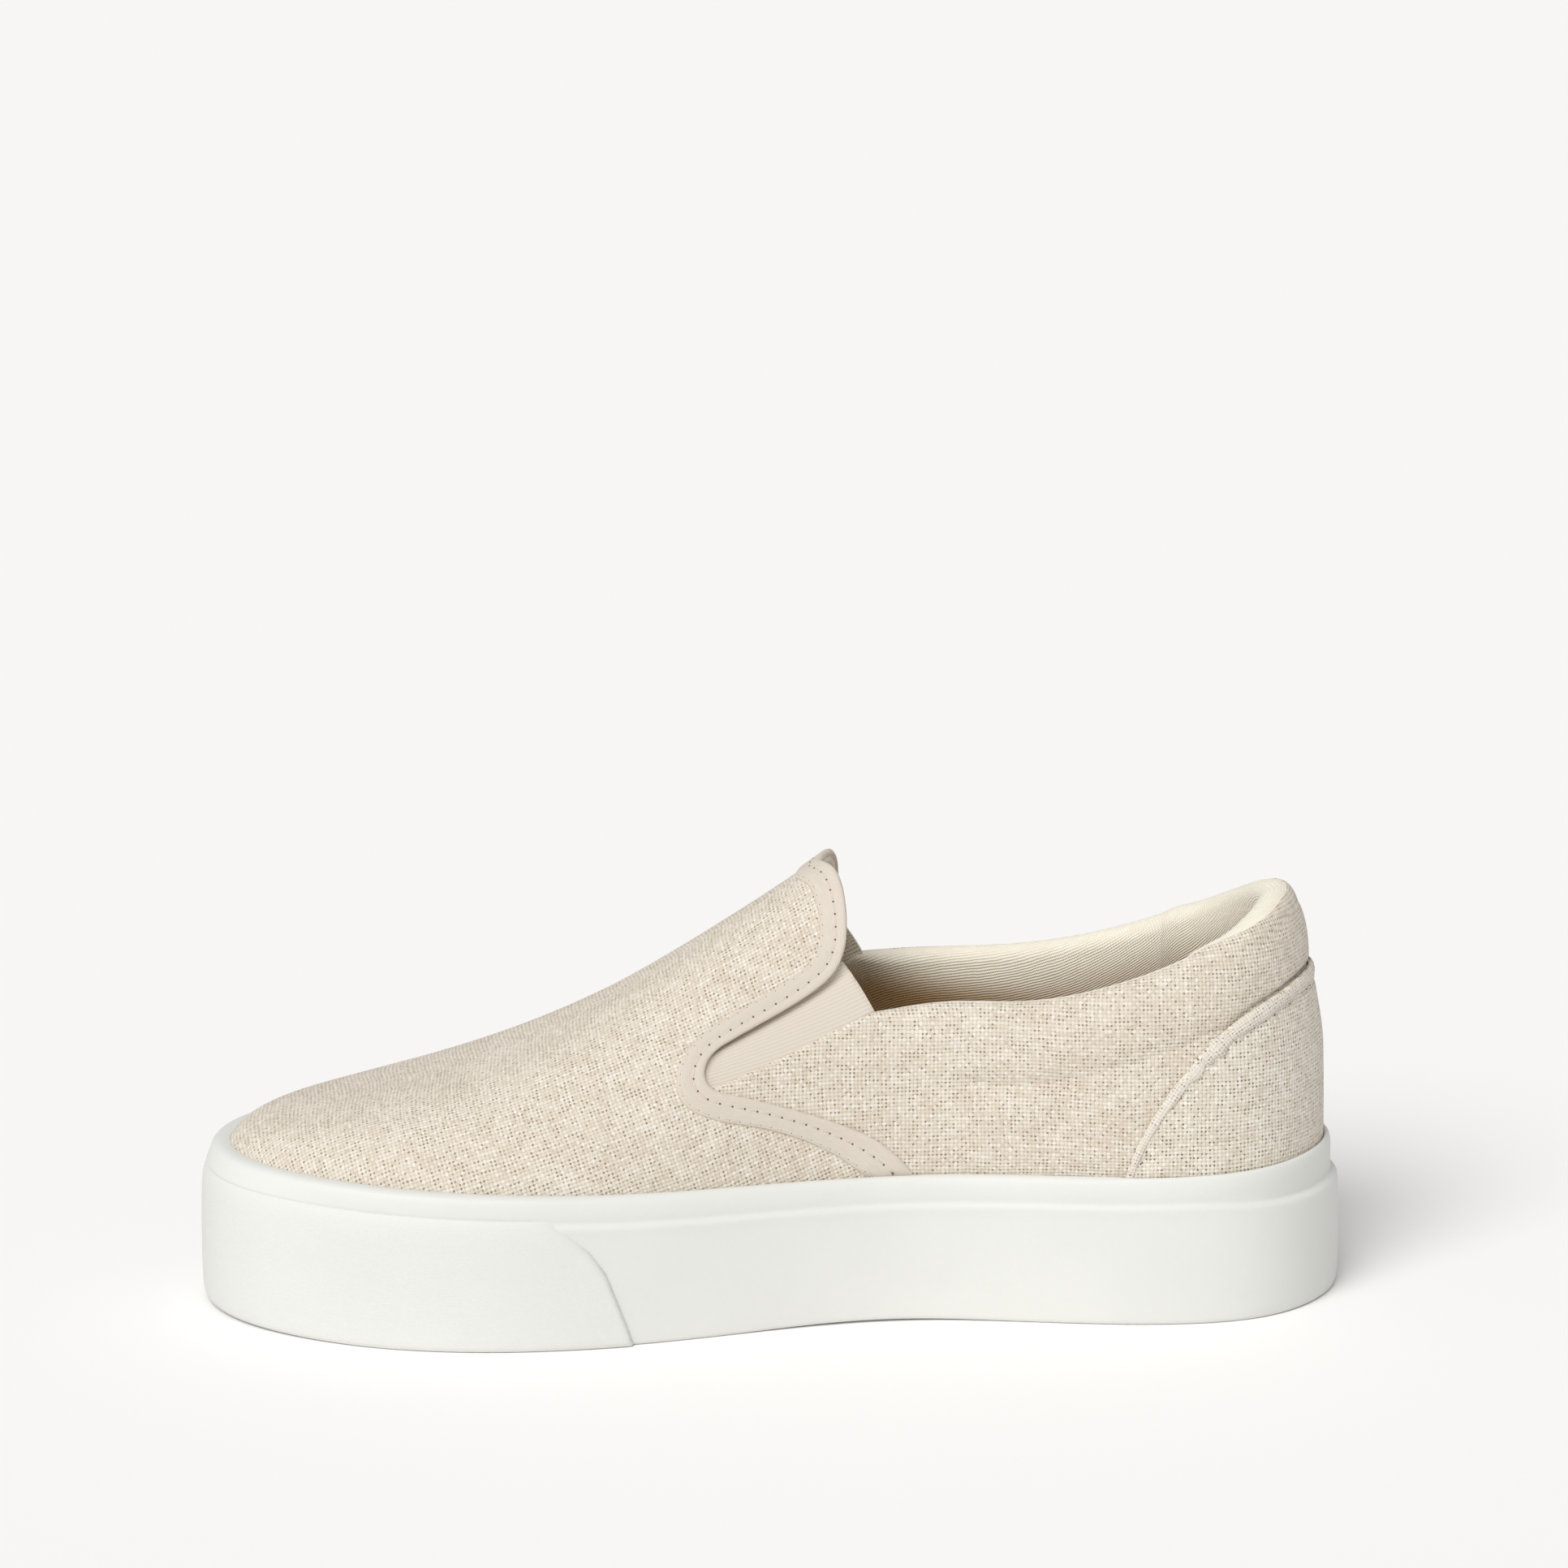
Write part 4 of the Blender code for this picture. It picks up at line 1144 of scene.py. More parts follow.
def closed_piece(
    name: str, points: Array, faces: list[tuple[int, ...]], finishes: Sequence[Any],
    cloth: Optional[Array] = None, worn: Optional[Sequence[int]] = None, crisp: float = 40.0,
) -> bpy.types.Object:
    """Makes a closed, smooth-shaded piece that rides on the shoe's body.

    Args:
        name: the piece's name.
        points: its points in millimetres.
        faces: its faces as rows of point numbers, all pointing the same way.
        finishes: its finishes, in the order of the faces' finish numbers.
        cloth: cloth coordinates of each point.
        worn: which finish each face has.
        crisp: the angle in degrees past which an edge is crisp.

    Returns:
        The new object.
    """
    points = np.asarray(points, float).reshape(-1, 3)
    if volume_sign(points, faces) < 0:
        faces = [tuple(reversed(face)) for face in faces]
    mesh = bpy.data.meshes.new(name)
    mesh.from_pydata((points * MM).tolist(), [], faces)
    if worn is not None:
        mesh.polygons.foreach_set("material_index", np.asarray(worn, np.int32))
    if cloth is not None:
        corner = np.empty(len(mesh.loops), np.int32)
        mesh.loops.foreach_get("vertex_index", corner)
        layer = mesh.uv_layers.new(name=CLOTH_MAP)
        layer.uv.foreach_set("vector", np.asarray(cloth, np.float32)[corner].ravel())
    mesh.shade_smooth()
    mesh.set_sharp_from_angle(angle=math.radians(crisp))
    made = placed(name, mesh)
    for finish in finishes:
        mesh.materials.append(Wardrobe.get(finish))
    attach(made, ROOT)
    return made


def ring_faces(stations: int, around: int, closed: bool) -> list[tuple[int, ...]]:
    """Quads of a skin with a closed loop of points at each station, capped where it is open.

    Args:
        stations: how many stations there are.
        around: how many points each loop has.
        closed: whether the last station joins the first.

    Returns:
        The faces as rows of point numbers.
    """
    faces: list[tuple[int, ...]] = []
    for i in range(stations if closed else stations - 1):
        j = (i + 1) % stations
        for k in range(around):
            m = (k + 1) % around
            faces.append((i * around + k, j * around + k, j * around + m, i * around + m))
    if not closed:
        faces.append(tuple(range(around)))
        faces.append(tuple((stations - 1) * around + k for k in reversed(range(around))))
    return faces


class Pattern:
    """A flat cutting pattern, meshed finely inside its outline."""

    ROWS = (0.15, 0.5, 1.0)

    def __init__(self, outline: Array, step: float) -> None:
        """Meshes an outline.

        Args:
            outline: the pattern's edge, as points about a step apart, in either direction.
            step: the distance between the points inside.
        """
        outline = self.without_repeats(outline)
        if np.sum(np.cross(outline, np.roll(outline, -1, axis=0))) > 0:
            outline = outline[::-1]
        low, high = outline.min(axis=0), outline.max(axis=0)
        xs = np.arange(low[0] + step / 2, high[0], step)
        ys = np.arange(low[1] + step / 2, high[1], step * 0.87)
        grid = np.stack(np.meshgrid(xs, ys), axis=-1)
        grid[1::2, :, 0] += step / 2
        inner = grid.reshape(-1, 2)
        rows = [inset(outline, row) for row in self.ROWS]
        inner = inner[self.inside(inner, outline)]
        inner = inner[self.distance(inner, outline) > self.ROWS[-1] + step * 0.5]
        for row, near in zip(rows, self.ROWS):
            good = self.inside(row, outline) & (self.distance(row, outline) > near * 0.8)
            inner = np.concatenate([row[good], inner])
        points = np.concatenate([outline, inner])
        count = len(outline)
        edges = [(k, (k + 1) % count) for k in range(count)]
        found = delaunay_2d_cdt([Vector(p) for p in points], edges, [], 1, 1e-5)
        self.points = np.array([tuple(p) for p in found[0]])
        self.faces = np.array([tuple(f) for f in found[2]])
        self.edge = self.distance(self.points, outline)

    @staticmethod
    def without_repeats(line: Array) -> Array:
        """A loop without points that repeat the one before."""
        gap = np.linalg.norm(line - np.roll(line, 1, axis=0), axis=1)
        return line[gap > 1e-3]

    @staticmethod
    def inside(points: Array, loop: Array) -> Array:
        """Which points lie inside a loop.

        Args:
            points: the points.
            loop: the loop's points.

        Returns:
            True for each point inside.
        """
        ends = np.roll(loop, -1, axis=0)
        found = np.zeros(len(points), bool)
        for a, b in zip(loop, ends):
            if a[1] == b[1]:
                continue
            spans = (a[1] > points[:, 1]) != (b[1] > points[:, 1])
            at = (b[0] - a[0]) * (points[:, 1] - a[1]) / (b[1] - a[1]) + a[0]
            found ^= spans & (points[:, 0] < at)
        return found

    @staticmethod
    def distance(points: Array, line: Array, closed: bool = True) -> Array:
        """The distance from points to a line.

        Args:
            points: the points.
            line: the line's points.
            closed: whether the line joins its start.

        Returns:
            The shortest distance of each point.
        """
        ends = np.roll(line, -1, axis=0)
        if not closed:
            line, ends = line[:-1], ends[:-1]
        best = np.full(len(points), 1e9)
        for a, b in zip(line, ends):
            way = b - a
            share = np.clip((points - a) @ way / max(way @ way, 1e-12), 0, 1)
            best = np.minimum(best, np.linalg.norm(points - a - share[:, None] * way, axis=1))
        return best

    def solid(
        self, name: str, places: Laid, outside: Array, inside: Array, cloth: Array,
        outer: Any, inner: Any,
    ) -> bpy.types.Object:
        """The pattern as a closed sheet on the last.

        Args:
            name: the piece's name.
            places: the unrolled place of each point.
            outside: how far out its outer face is.
            inside: how far out its inner face is.
            cloth: the cloth coordinates of each point.
            outer: the finish outside.
            inner: the finish inside.

        Returns:
            The new piece.
        """
        count = len(self.points)
        points = np.concatenate([LAST.skin(*places, outside), LAST.skin(*places, inside)])
        faces = [tuple(int(k) for k in face) for face in self.faces]
        edges = np.concatenate([self.faces[:, [k, (k + 1) % 3]] for k in range(3)])
        both = {(int(a), int(b)) for a, b in edges}
        rim = [(a, b) for a, b in both if (b, a) not in both]
        back = [tuple(k + count for k in reversed(face)) for face in faces]
        sides = [(b, a, a + count, b + count) for a, b in rim]
        worn = [0] * len(faces) + [1] * len(back) + [0] * len(sides)
        return closed_piece(
            name, points, faces + back + sides, (outer, inner),
            np.concatenate([cloth, cloth]), worn, 60.0)


def rounded(distance: Array, radius: float, depth: float) -> Array:
    """How far a rounded edge drops at a distance from it."""
    share = np.clip(1 - distance / radius, 0, 1)
    return depth * (1 - np.sqrt(1 - share * share * 0.999))


@dataclass
class StitchRow:
    """A row of stitches along a line, made with Geometry Nodes."""

    name: str
    line: Array
    outward: Array
    thread: Any
    pitch: float = 3.1
    length: float = 2.3
    thick: float = 0.5
    # The size of the painted shadow mark in each needle hole.
    hole: float = 0.62

    TREE = "stitch_row"

    @classmethod
    def tree(cls) -> bpy.types.NodeTree:
        """The node tree that sews a line: threads, with a dark mark of painted shadow in the needle hole
        between each two.

        Returns:
            The tree, which is built the first time.
        """
        if cls.TREE in bpy.data.node_groups:
            return bpy.data.node_groups[cls.TREE]
        tree = bpy.data.node_groups.new(cls.TREE, "GeometryNodeTree")
        face = tree.interface
        face.new_socket("Geometry", in_out="INPUT", socket_type="NodeSocketGeometry")
        for name in ("Pitch", "Length", "Thickness", "Hole"):
            face.new_socket(name, in_out="INPUT", socket_type="NodeSocketFloat")
        for name in ("Thread", "Shadow"):
            face.new_socket(name, in_out="INPUT", socket_type="NodeSocketMaterial")
        face.new_socket("Geometry", in_out="OUTPUT", socket_type="NodeSocketGeometry")

        def node(kind: str, settings: dict[str, Any], links: dict[Any, Any]) -> bpy.types.Node:
            """Adds one node and feeds it.

            Args:
                kind: the node's type.
                settings: its properties.
                links: values or sockets for its inputs.

            Returns:
                The node.
            """
            made = tree.nodes.new(kind)
            for key, value in settings.items():
                setattr(made, key, value)
            for key, value in links.items():
                if isinstance(value, bpy.types.NodeSocket):
                    tree.links.new(value, made.inputs[key])
                else:
                    made.inputs[key].default_value = value
            return made

        given = tree.nodes.new("NodeGroupInput").outputs
        half = node("ShaderNodeMath", {"operation": "DIVIDE"}, {0: given["Pitch"], 1: 2.0})
        curve = node("GeometryNodeMeshToCurve", {}, {0: given["Geometry"]})
        dots = node("GeometryNodeResampleCurve", {"mode": "LENGTH"},
                    {"Curve": curve.outputs[0], "Length": half.outputs[0]})
        number = node("GeometryNodeInputIndex", {}, {})
        odd = node("ShaderNodeMath", {"operation": "MODULO"}, {0: number.outputs[0], 1: 2.0})
        even = node("ShaderNodeMath", {"operation": "SUBTRACT"}, {0: 1.0, 1: odd.outputs[0]})
        tangent = node("GeometryNodeInputTangent", {}, {})
        out = node("GeometryNodeInputNamedAttribute", {"data_type": "FLOAT_VECTOR"},
                   {"Name": "outward"})
        turn = node("FunctionNodeAxesToRotation", {"primary_axis": "X", "secondary_axis": "Z"},
                    {0: tangent.outputs[0], 1: out.outputs[0]})
        joined = node("GeometryNodeJoinGeometry", {}, {})
        marks = (
            (given["Length"], given["Thickness"], given["Thickness"], even, given["Thread"], 8, 5),
            # The second mark is painted shadow: a dark blob where the needle hole is.
            (given["Hole"], given["Hole"], given["Hole"], odd, given["Shadow"], 6, 4),
        )
        for length, wide, thick, chosen, finish, around, rings in marks:
            ball = node("GeometryNodeMeshUVSphere", {},
                        {"Segments": around, "Rings": rings, "Radius": 0.5})
            flat = node("ShaderNodeMath", {"operation": "MULTIPLY"}, {0: thick, 1: 0.7})
            size = node("ShaderNodeCombineXYZ", {}, {0: length, 1: wide, 2: flat.outputs[0]})
            shaped = node("GeometryNodeTransform", {},
                          {"Geometry": ball.outputs[0], "Scale": size.outputs[0]})
            smooth = node("GeometryNodeSetShadeSmooth", {}, {0: shaped.outputs[0]})
            placed = node("GeometryNodeInstanceOnPoints", {}, {
                "Points": dots.outputs[0], "Selection": chosen.outputs[0],
                "Instance": smooth.outputs[0], "Rotation": turn.outputs[0]})
            real = node("GeometryNodeRealizeInstances", {}, {0: placed.outputs[0]})
            dressed = node("GeometryNodeSetMaterial", {}, {0: real.outputs[0], 2: finish})
            tree.links.new(dressed.outputs[0], joined.inputs[0])
        end = tree.nodes.new("NodeGroupOutput")
        tree.links.new(joined.outputs[0], end.inputs[0])
        return tree

    def sew(self) -> bpy.types.Object:
        """Sews the row and turns it into a plain mesh that rides on the shoe.

        Returns:
            The new piece.
        """
        mesh = bpy.data.meshes.new(self.name + "_line")
        edges = [(k, k + 1) for k in range(len(self.line) - 1)]
        mesh.from_pydata((self.line * MM).tolist(), edges, [])
        way = mesh.attributes.new("outward", "FLOAT_VECTOR", "POINT")
        way.data.foreach_set("vector", self.outward.astype(np.float32).ravel())
        guide = placed(self.name + "_guide", mesh)
        sewing = guide.modifiers.new("sewing", "NODES")
        sewing.node_group = self.tree()
        values = {
            "Pitch": self.pitch * MM, "Length": self.length * MM, "Thickness": self.thick * MM,
            "Hole": self.hole * MM, "Thread": Wardrobe.get(self.thread),
            "Shadow": Wardrobe.get(NEEDLE_HOLE_SHADE),
        }
        for item in sewing.node_group.interface.items_tree:
            if item.item_type == "SOCKET" and item.in_out == "INPUT" and item.name in values:
                sewing[item.identifier] = values[item.name]
        view = guide.evaluated_get(bpy.context.evaluated_depsgraph_get())
        sewn = bpy.data.meshes.new_from_object(view)
        sewn.name = self.name
        made = placed(self.name, sewn)
        guide.modifiers.remove(sewing)
        bpy.data.objects.remove(guide)
        bpy.data.meshes.remove(mesh)
        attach(made, ROOT)
        return made


def stitches_on(name: str, places: Laid, out: Any, thread: Any, **sizes: float) -> StitchRow:
    """A row of stitches at unrolled places on the last."""
    u, v = places
    return StitchRow(name, LAST.skin(u, v, out), LAST.outward(u, v), thread, **sizes)


@dataclass
class Sole:
    """The rubber: the band round the sole, the toe bumper, and the tread under it.

    A row of a profile gives how far in from the outline it is at the sides, at the toe's tip and at
    the back of the heel, and then its height: a share of the band's height and a shift from there.
    The bumper's rows leave the heel out. lips says how far outside the last the band's lip stands, by
    the place along the feather edge, and bumper_edges gives the x of the bumper's end by the height.
    """

    stations: int = 480
    lips: tuple[tuple[float, float], ...] = ((-90.0, 1.3), (-83.5, 1.2), (-81.0, 0.05), (-36.5, 0.05),
                                             (-33.5, 0.64), (-20.0, 0.55))
    bumper_columns: int = 181
    bumper_edge: float = 1.3
    bumper_fade: float = 7.0
    heel_drop: float = 2.2
    bumper_edges: tuple[tuple[float, float], ...] = (
        (0.0, 34.7), (6.0, 36.7), (12.0, 38.7), (18.0, 41.1), (23.4, 44.2), (26.6, 47.3),
        (28.8, 50.1), (30.5, 52.6), (32.5, 56.0))
    band_profile: tuple[tuple[float, float, float, float, float], ...] = (
        (0.9, 0.9, 1.2, 0.0, 0.0), (0.5, 0.5, 0.7, 0.0, 0.08), (0.22, 0.22, 0.3, 0.0, 0.4),
        (0.1, 0.1, 0.0, 0.0, 1.2), (0.05, 0.05, -0.25, 0.0, 3.0), (0.02, 0.02, -0.35, 0.0, 8.0),
        (0.02, 0.02, -0.3, 0.0, 14.0), (0.08, 0.1, -0.1, 1.0, -11.5), (0.1, 0.12, -0.05, 1.0, -10.2),
        (0.08, 0.15, 0.0, 1.0, -9.2), (0.04, 0.2, 0.08, 1.0, -8.5), (0.0, 0.3, 0.2, 1.0, -7.9),
        (0.05, 0.5, 0.5, 1.0, -7.4), (0.2, 0.8, 1.2, 1.0, -7.0), (0.4, 1.1, 1.8, 1.0, -6.65),
        (0.56, 1.3, 1.93, 1.0, -6.3), (0.62, 0.9, 1.92, 1.0, -5.95), (0.6, 0.25, 1.94, 1.0, -5.55),
        (0.55, 0.12, 1.95, 1.0, -5.1), (0.52, 0.4, 1.93, 1.0, -4.4), (0.56, 0.8, 1.94, 1.0, -3.2),
        (0.72, 1.2, 1.98, 1.0, -2.0), (0.98, 1.6, 2.12, 1.0, -1.1))
    bumper_profile: tuple[tuple[float, float, float, float], ...] = (
        (0.7, 0.7, 0.0, 0.3), (0.7, 0.7, 0.4, 0.0), (0.7, 0.7, 1.0, -9.0),
        (0.9, 0.9, 1.0, -7.2), (1.2, 1.3, 1.0, -6.5), (1.2, 1.4, 1.0, -6.0),
        (0.9, 1.2, 1.0, -5.55), (0.52, 0.7, 1.0, -5.4), (0.3, 0.4, 1.0, -5.42),
        (0.0, 0.1, 1.0, -5.6), (-0.3, -0.2, 1.0, -6.1), (-0.62, -0.5, 1.0, -6.9),
        (-0.95, -0.8, 1.0, -8.1), (-1.2, -1.05, 1.0, -10.4), (-1.38, -1.2, 0.68, -1.5),
        (-1.42, -1.35, 0.5, 0.0), (-1.4, -1.4, 0.25, 0.0), (-1.34, -1.25, 0.0, 3.2),
        (-1.24, -1.05, 0.0, 1.4), (-1.05, -0.8, 0.0, 0.5), (-0.7, -0.5, 0.0, 0.1))

    @staticmethod
    def side(station: Array, out: Any, z: Any) -> Array:
        """Places on the sole's side: by the station round it, how far in, and the height.

        Args:
            station: numbers of the outline's points, with fractions.
            out: how far in from the outline.
            z: the heights.

        Returns:
            The places in millimetres.
        """
        loop = LAST.outline
        along = ways(loop)
        count = len(loop)
        low = np.floor(station).astype(int)
        part = (station - low)[..., None]
        here = loop[low % count] * (1 - part) + loop[(low + 1) % count] * part
        way = along[low % count] * (1 - part) + along[(low + 1) % count] * part
        inward = np.stack([way[..., 1], -way[..., 0]], axis=-1)
        swell = sum(depth * eased(here[..., 0], start, end) for depth, start, end in FLARES)
        outer = 1 - eased(out, 2.0, BAND_BACK)
        here = here + inward * (np.asarray(out) - swell * outer)[..., None]
        return np.concatenate([here, np.broadcast_to(z, here.shape[:-1])[..., None]], axis=-1)

    def band(self) -> None:
        """The band: a lower strip with a bead, and a strip that hugs the cloth above a groove."""
        count = self.stations
        station = np.arange(count) * (len(LAST.outline) / count)
        rim = self.side(station, np.zeros(count), 0.0)
        tip, heel = eased(rim[:, 0], 95.0, 134.0), eased(-rim[:, 0], 96.0, 134.0)
        top, floor = band_top(rim[:, 0]), floor_lift(rim[:, 0]) + BAND_LIFT
        feather = self.side(station, np.full(count, BAND), 0.0)
        place, side = LAST.place_of(feather[:, 0], feather[:, 1])
        points = []
        for sides, toe, back, share, shift in self.band_profile:
            inward = sides + (toe - sides) * tip + (back - sides) * heel
            lower = self.heel_drop * heel * eased(-shift, 5.0, 6.0) * share
            points.append(self.side(station, inward, floor + (top - floor) * share + shift - lower))
        shoulder = points[-1]
        hug = []
        lip = np.interp(place, *np.array(self.lips).T)
        for out, drop in ((lip + 0.18, 0.2), (lip, 0.7), (lip, 4.5)):
            u, v = LAST.at_height(place, side, top - drop)
            edge = LAST.skin(u, v, out)
            edge[:, 2] = top - drop
            hug.append(edge)
        for share, rise in ((0.12, 0.52), (0.34, 0.86), (0.62, 0.98), (0.86, 0.9)):
            mixed = shoulder * (1 - share) + hug[0] * share
            mixed[:, 2] = shoulder[:, 2] + (top + 0.08 - shoulder[:, 2]) * rise
            points.append(mixed)
        points += hug
        for z in (np.full(count, BED_Z), floor):
            points.append(self.side(station, np.full(count, BAND_BACK), z))
        points = np.stack(points, axis=1)
        faces = ring_faces(count, points.shape[1], True)
        made = closed_piece("sole_band", points, faces, (RUBBER,), crisp=50.0)
        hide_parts("foxing")

    def bumper(self) -> None:
        """The rubber strip wrapped round the toe."""
        loop = LAST.outline
        tip = int(np.argmax(loop[:, 0]))
        height = band_top(self.bumper_edges[-1][1])
        edge_x = table(self.bumper_edges)
        side = np.linspace(-1, 1, self.bumper_columns)
        reach = np.sign(side) * (1 - (1 - np.abs(side)) ** 1.6)
        points, cloth = [], []
        for sides, toe, share, shift in self.bumper_profile:
            level = height * share + shift
            behind = loop[:, 0] > float(edge_x(level))
            lateral, medial = np.argmax(~behind[tip:]), np.argmax(~behind[tip::-1])
            station = tip + np.where(reach < 0, reach * medial, reach * lateral)
            flat = self.side(station, np.zeros(len(reach)), 0.0)
            x = flat[:, 0]
            floor, top = floor_lift(x) + BAND_LIFT, band_top(x)
            inward = sides + (toe - sides) * eased(x, 95.0, 134.0)
            far = walked(flat)
            near = np.minimum(far, far[-1] - far)
            soft = self.bumper_edge + self.bumper_fade * eased(level, 21.0, 31.0)
            bulge = np.sqrt(1 - (1 - np.clip(near / soft, 0.02, 1)) ** 2)
            end = 0.15 + 0.75 * eased(level, 21.5, 30.0)
            out = np.where(inward < 0.6, end + (inward - end) * bulge, inward)
            points.append(self.side(station, out, floor + (top - floor) * share + shift))
            cloth.append(np.stack([far, points[-1][:, 2]], axis=1))
        points, cloth = np.stack(points, axis=1), np.stack(cloth, axis=1)
        faces = ring_faces(len(side), points.shape[1], False)
        made = closed_piece(
            "bumper_strip", points, faces, (BUMPER_RUBBER,), cloth.reshape(-1, 2), crisp=50.0)
        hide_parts("toe_bumper")

    def build(self) -> None:
        """Builds the rubber and dresses the tread."""
        self.band()
        self.bumper()
        tread = frame["nodes"]["outsole"]
        for slot in tread.material_slots:
            slot.material = Wardrobe.get(TREAD_RUBBER)


@dataclass
class Footbed:
    """The padded insole inside the shoe."""

    inset: float = 5.3
    bottom: float = 27.1
    top: float = 30.2
    cup: float = 2.4
    arch: float = 2.6
    stations: int = 110
    columns: int = 33
    lip: float = 0.4

    def build(self) -> None:
        """A cushion that fills the outline, cupped at the heel and raised under the arch."""
        loop = inset(LAST.outline, self.inset)
        ridge = LAST.section(loop[:, 0])[:, 1]
        heel, toe = loop[:, 0].min() + 0.05, loop[:, 0].max() - 0.05
        x = (heel + toe) / 2 - (toe - heel) / 2 * np.cos(np.linspace(0, math.pi, self.stations))
        sides = []
        for side in (-1, 1):
            mine = (loop[:, 1] - ridge) * side > 0
            order = np.argsort(loop[mine, 0])
            sides.append(np.interp(x, loop[mine, 0][order], loop[mine, 1][order]))
        low, high = sides
        points = []
        for angle in np.linspace(math.pi, 0, self.columns):
            share = (1 + math.cos(angle)) / 2
            edge = abs(2 * share - 1)
            crown = (1 - edge ** 14) ** 0.5
            rim = self.cup * edge ** 5 * eased(-x, 20.0, 90.0)
            rise = self.arch * eased(share, 0.55, 1.0) * eased(x, -70.0, -25.0) * (1 - eased(x, 5.0, 45.0))
            z = self.bottom + self.lip + (self.top - self.bottom - self.lip + rim + rise) * crown
            points.append(np.stack([x, low + (high - low) * share, z], axis=1))
        for share in (0.98, 0.5, 0.02):
            points.append(np.stack([x, low + (high - low) * share, np.full(len(x), self.bottom)], axis=1))
        points = np.stack(points, axis=1)
        made = closed_piece(
            "footbed", points, ring_faces(len(x), points.shape[1], False), (FOOTBED,),
            points.reshape(-1, 3)[:, :2], crisp=60.0)
        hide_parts("insole")


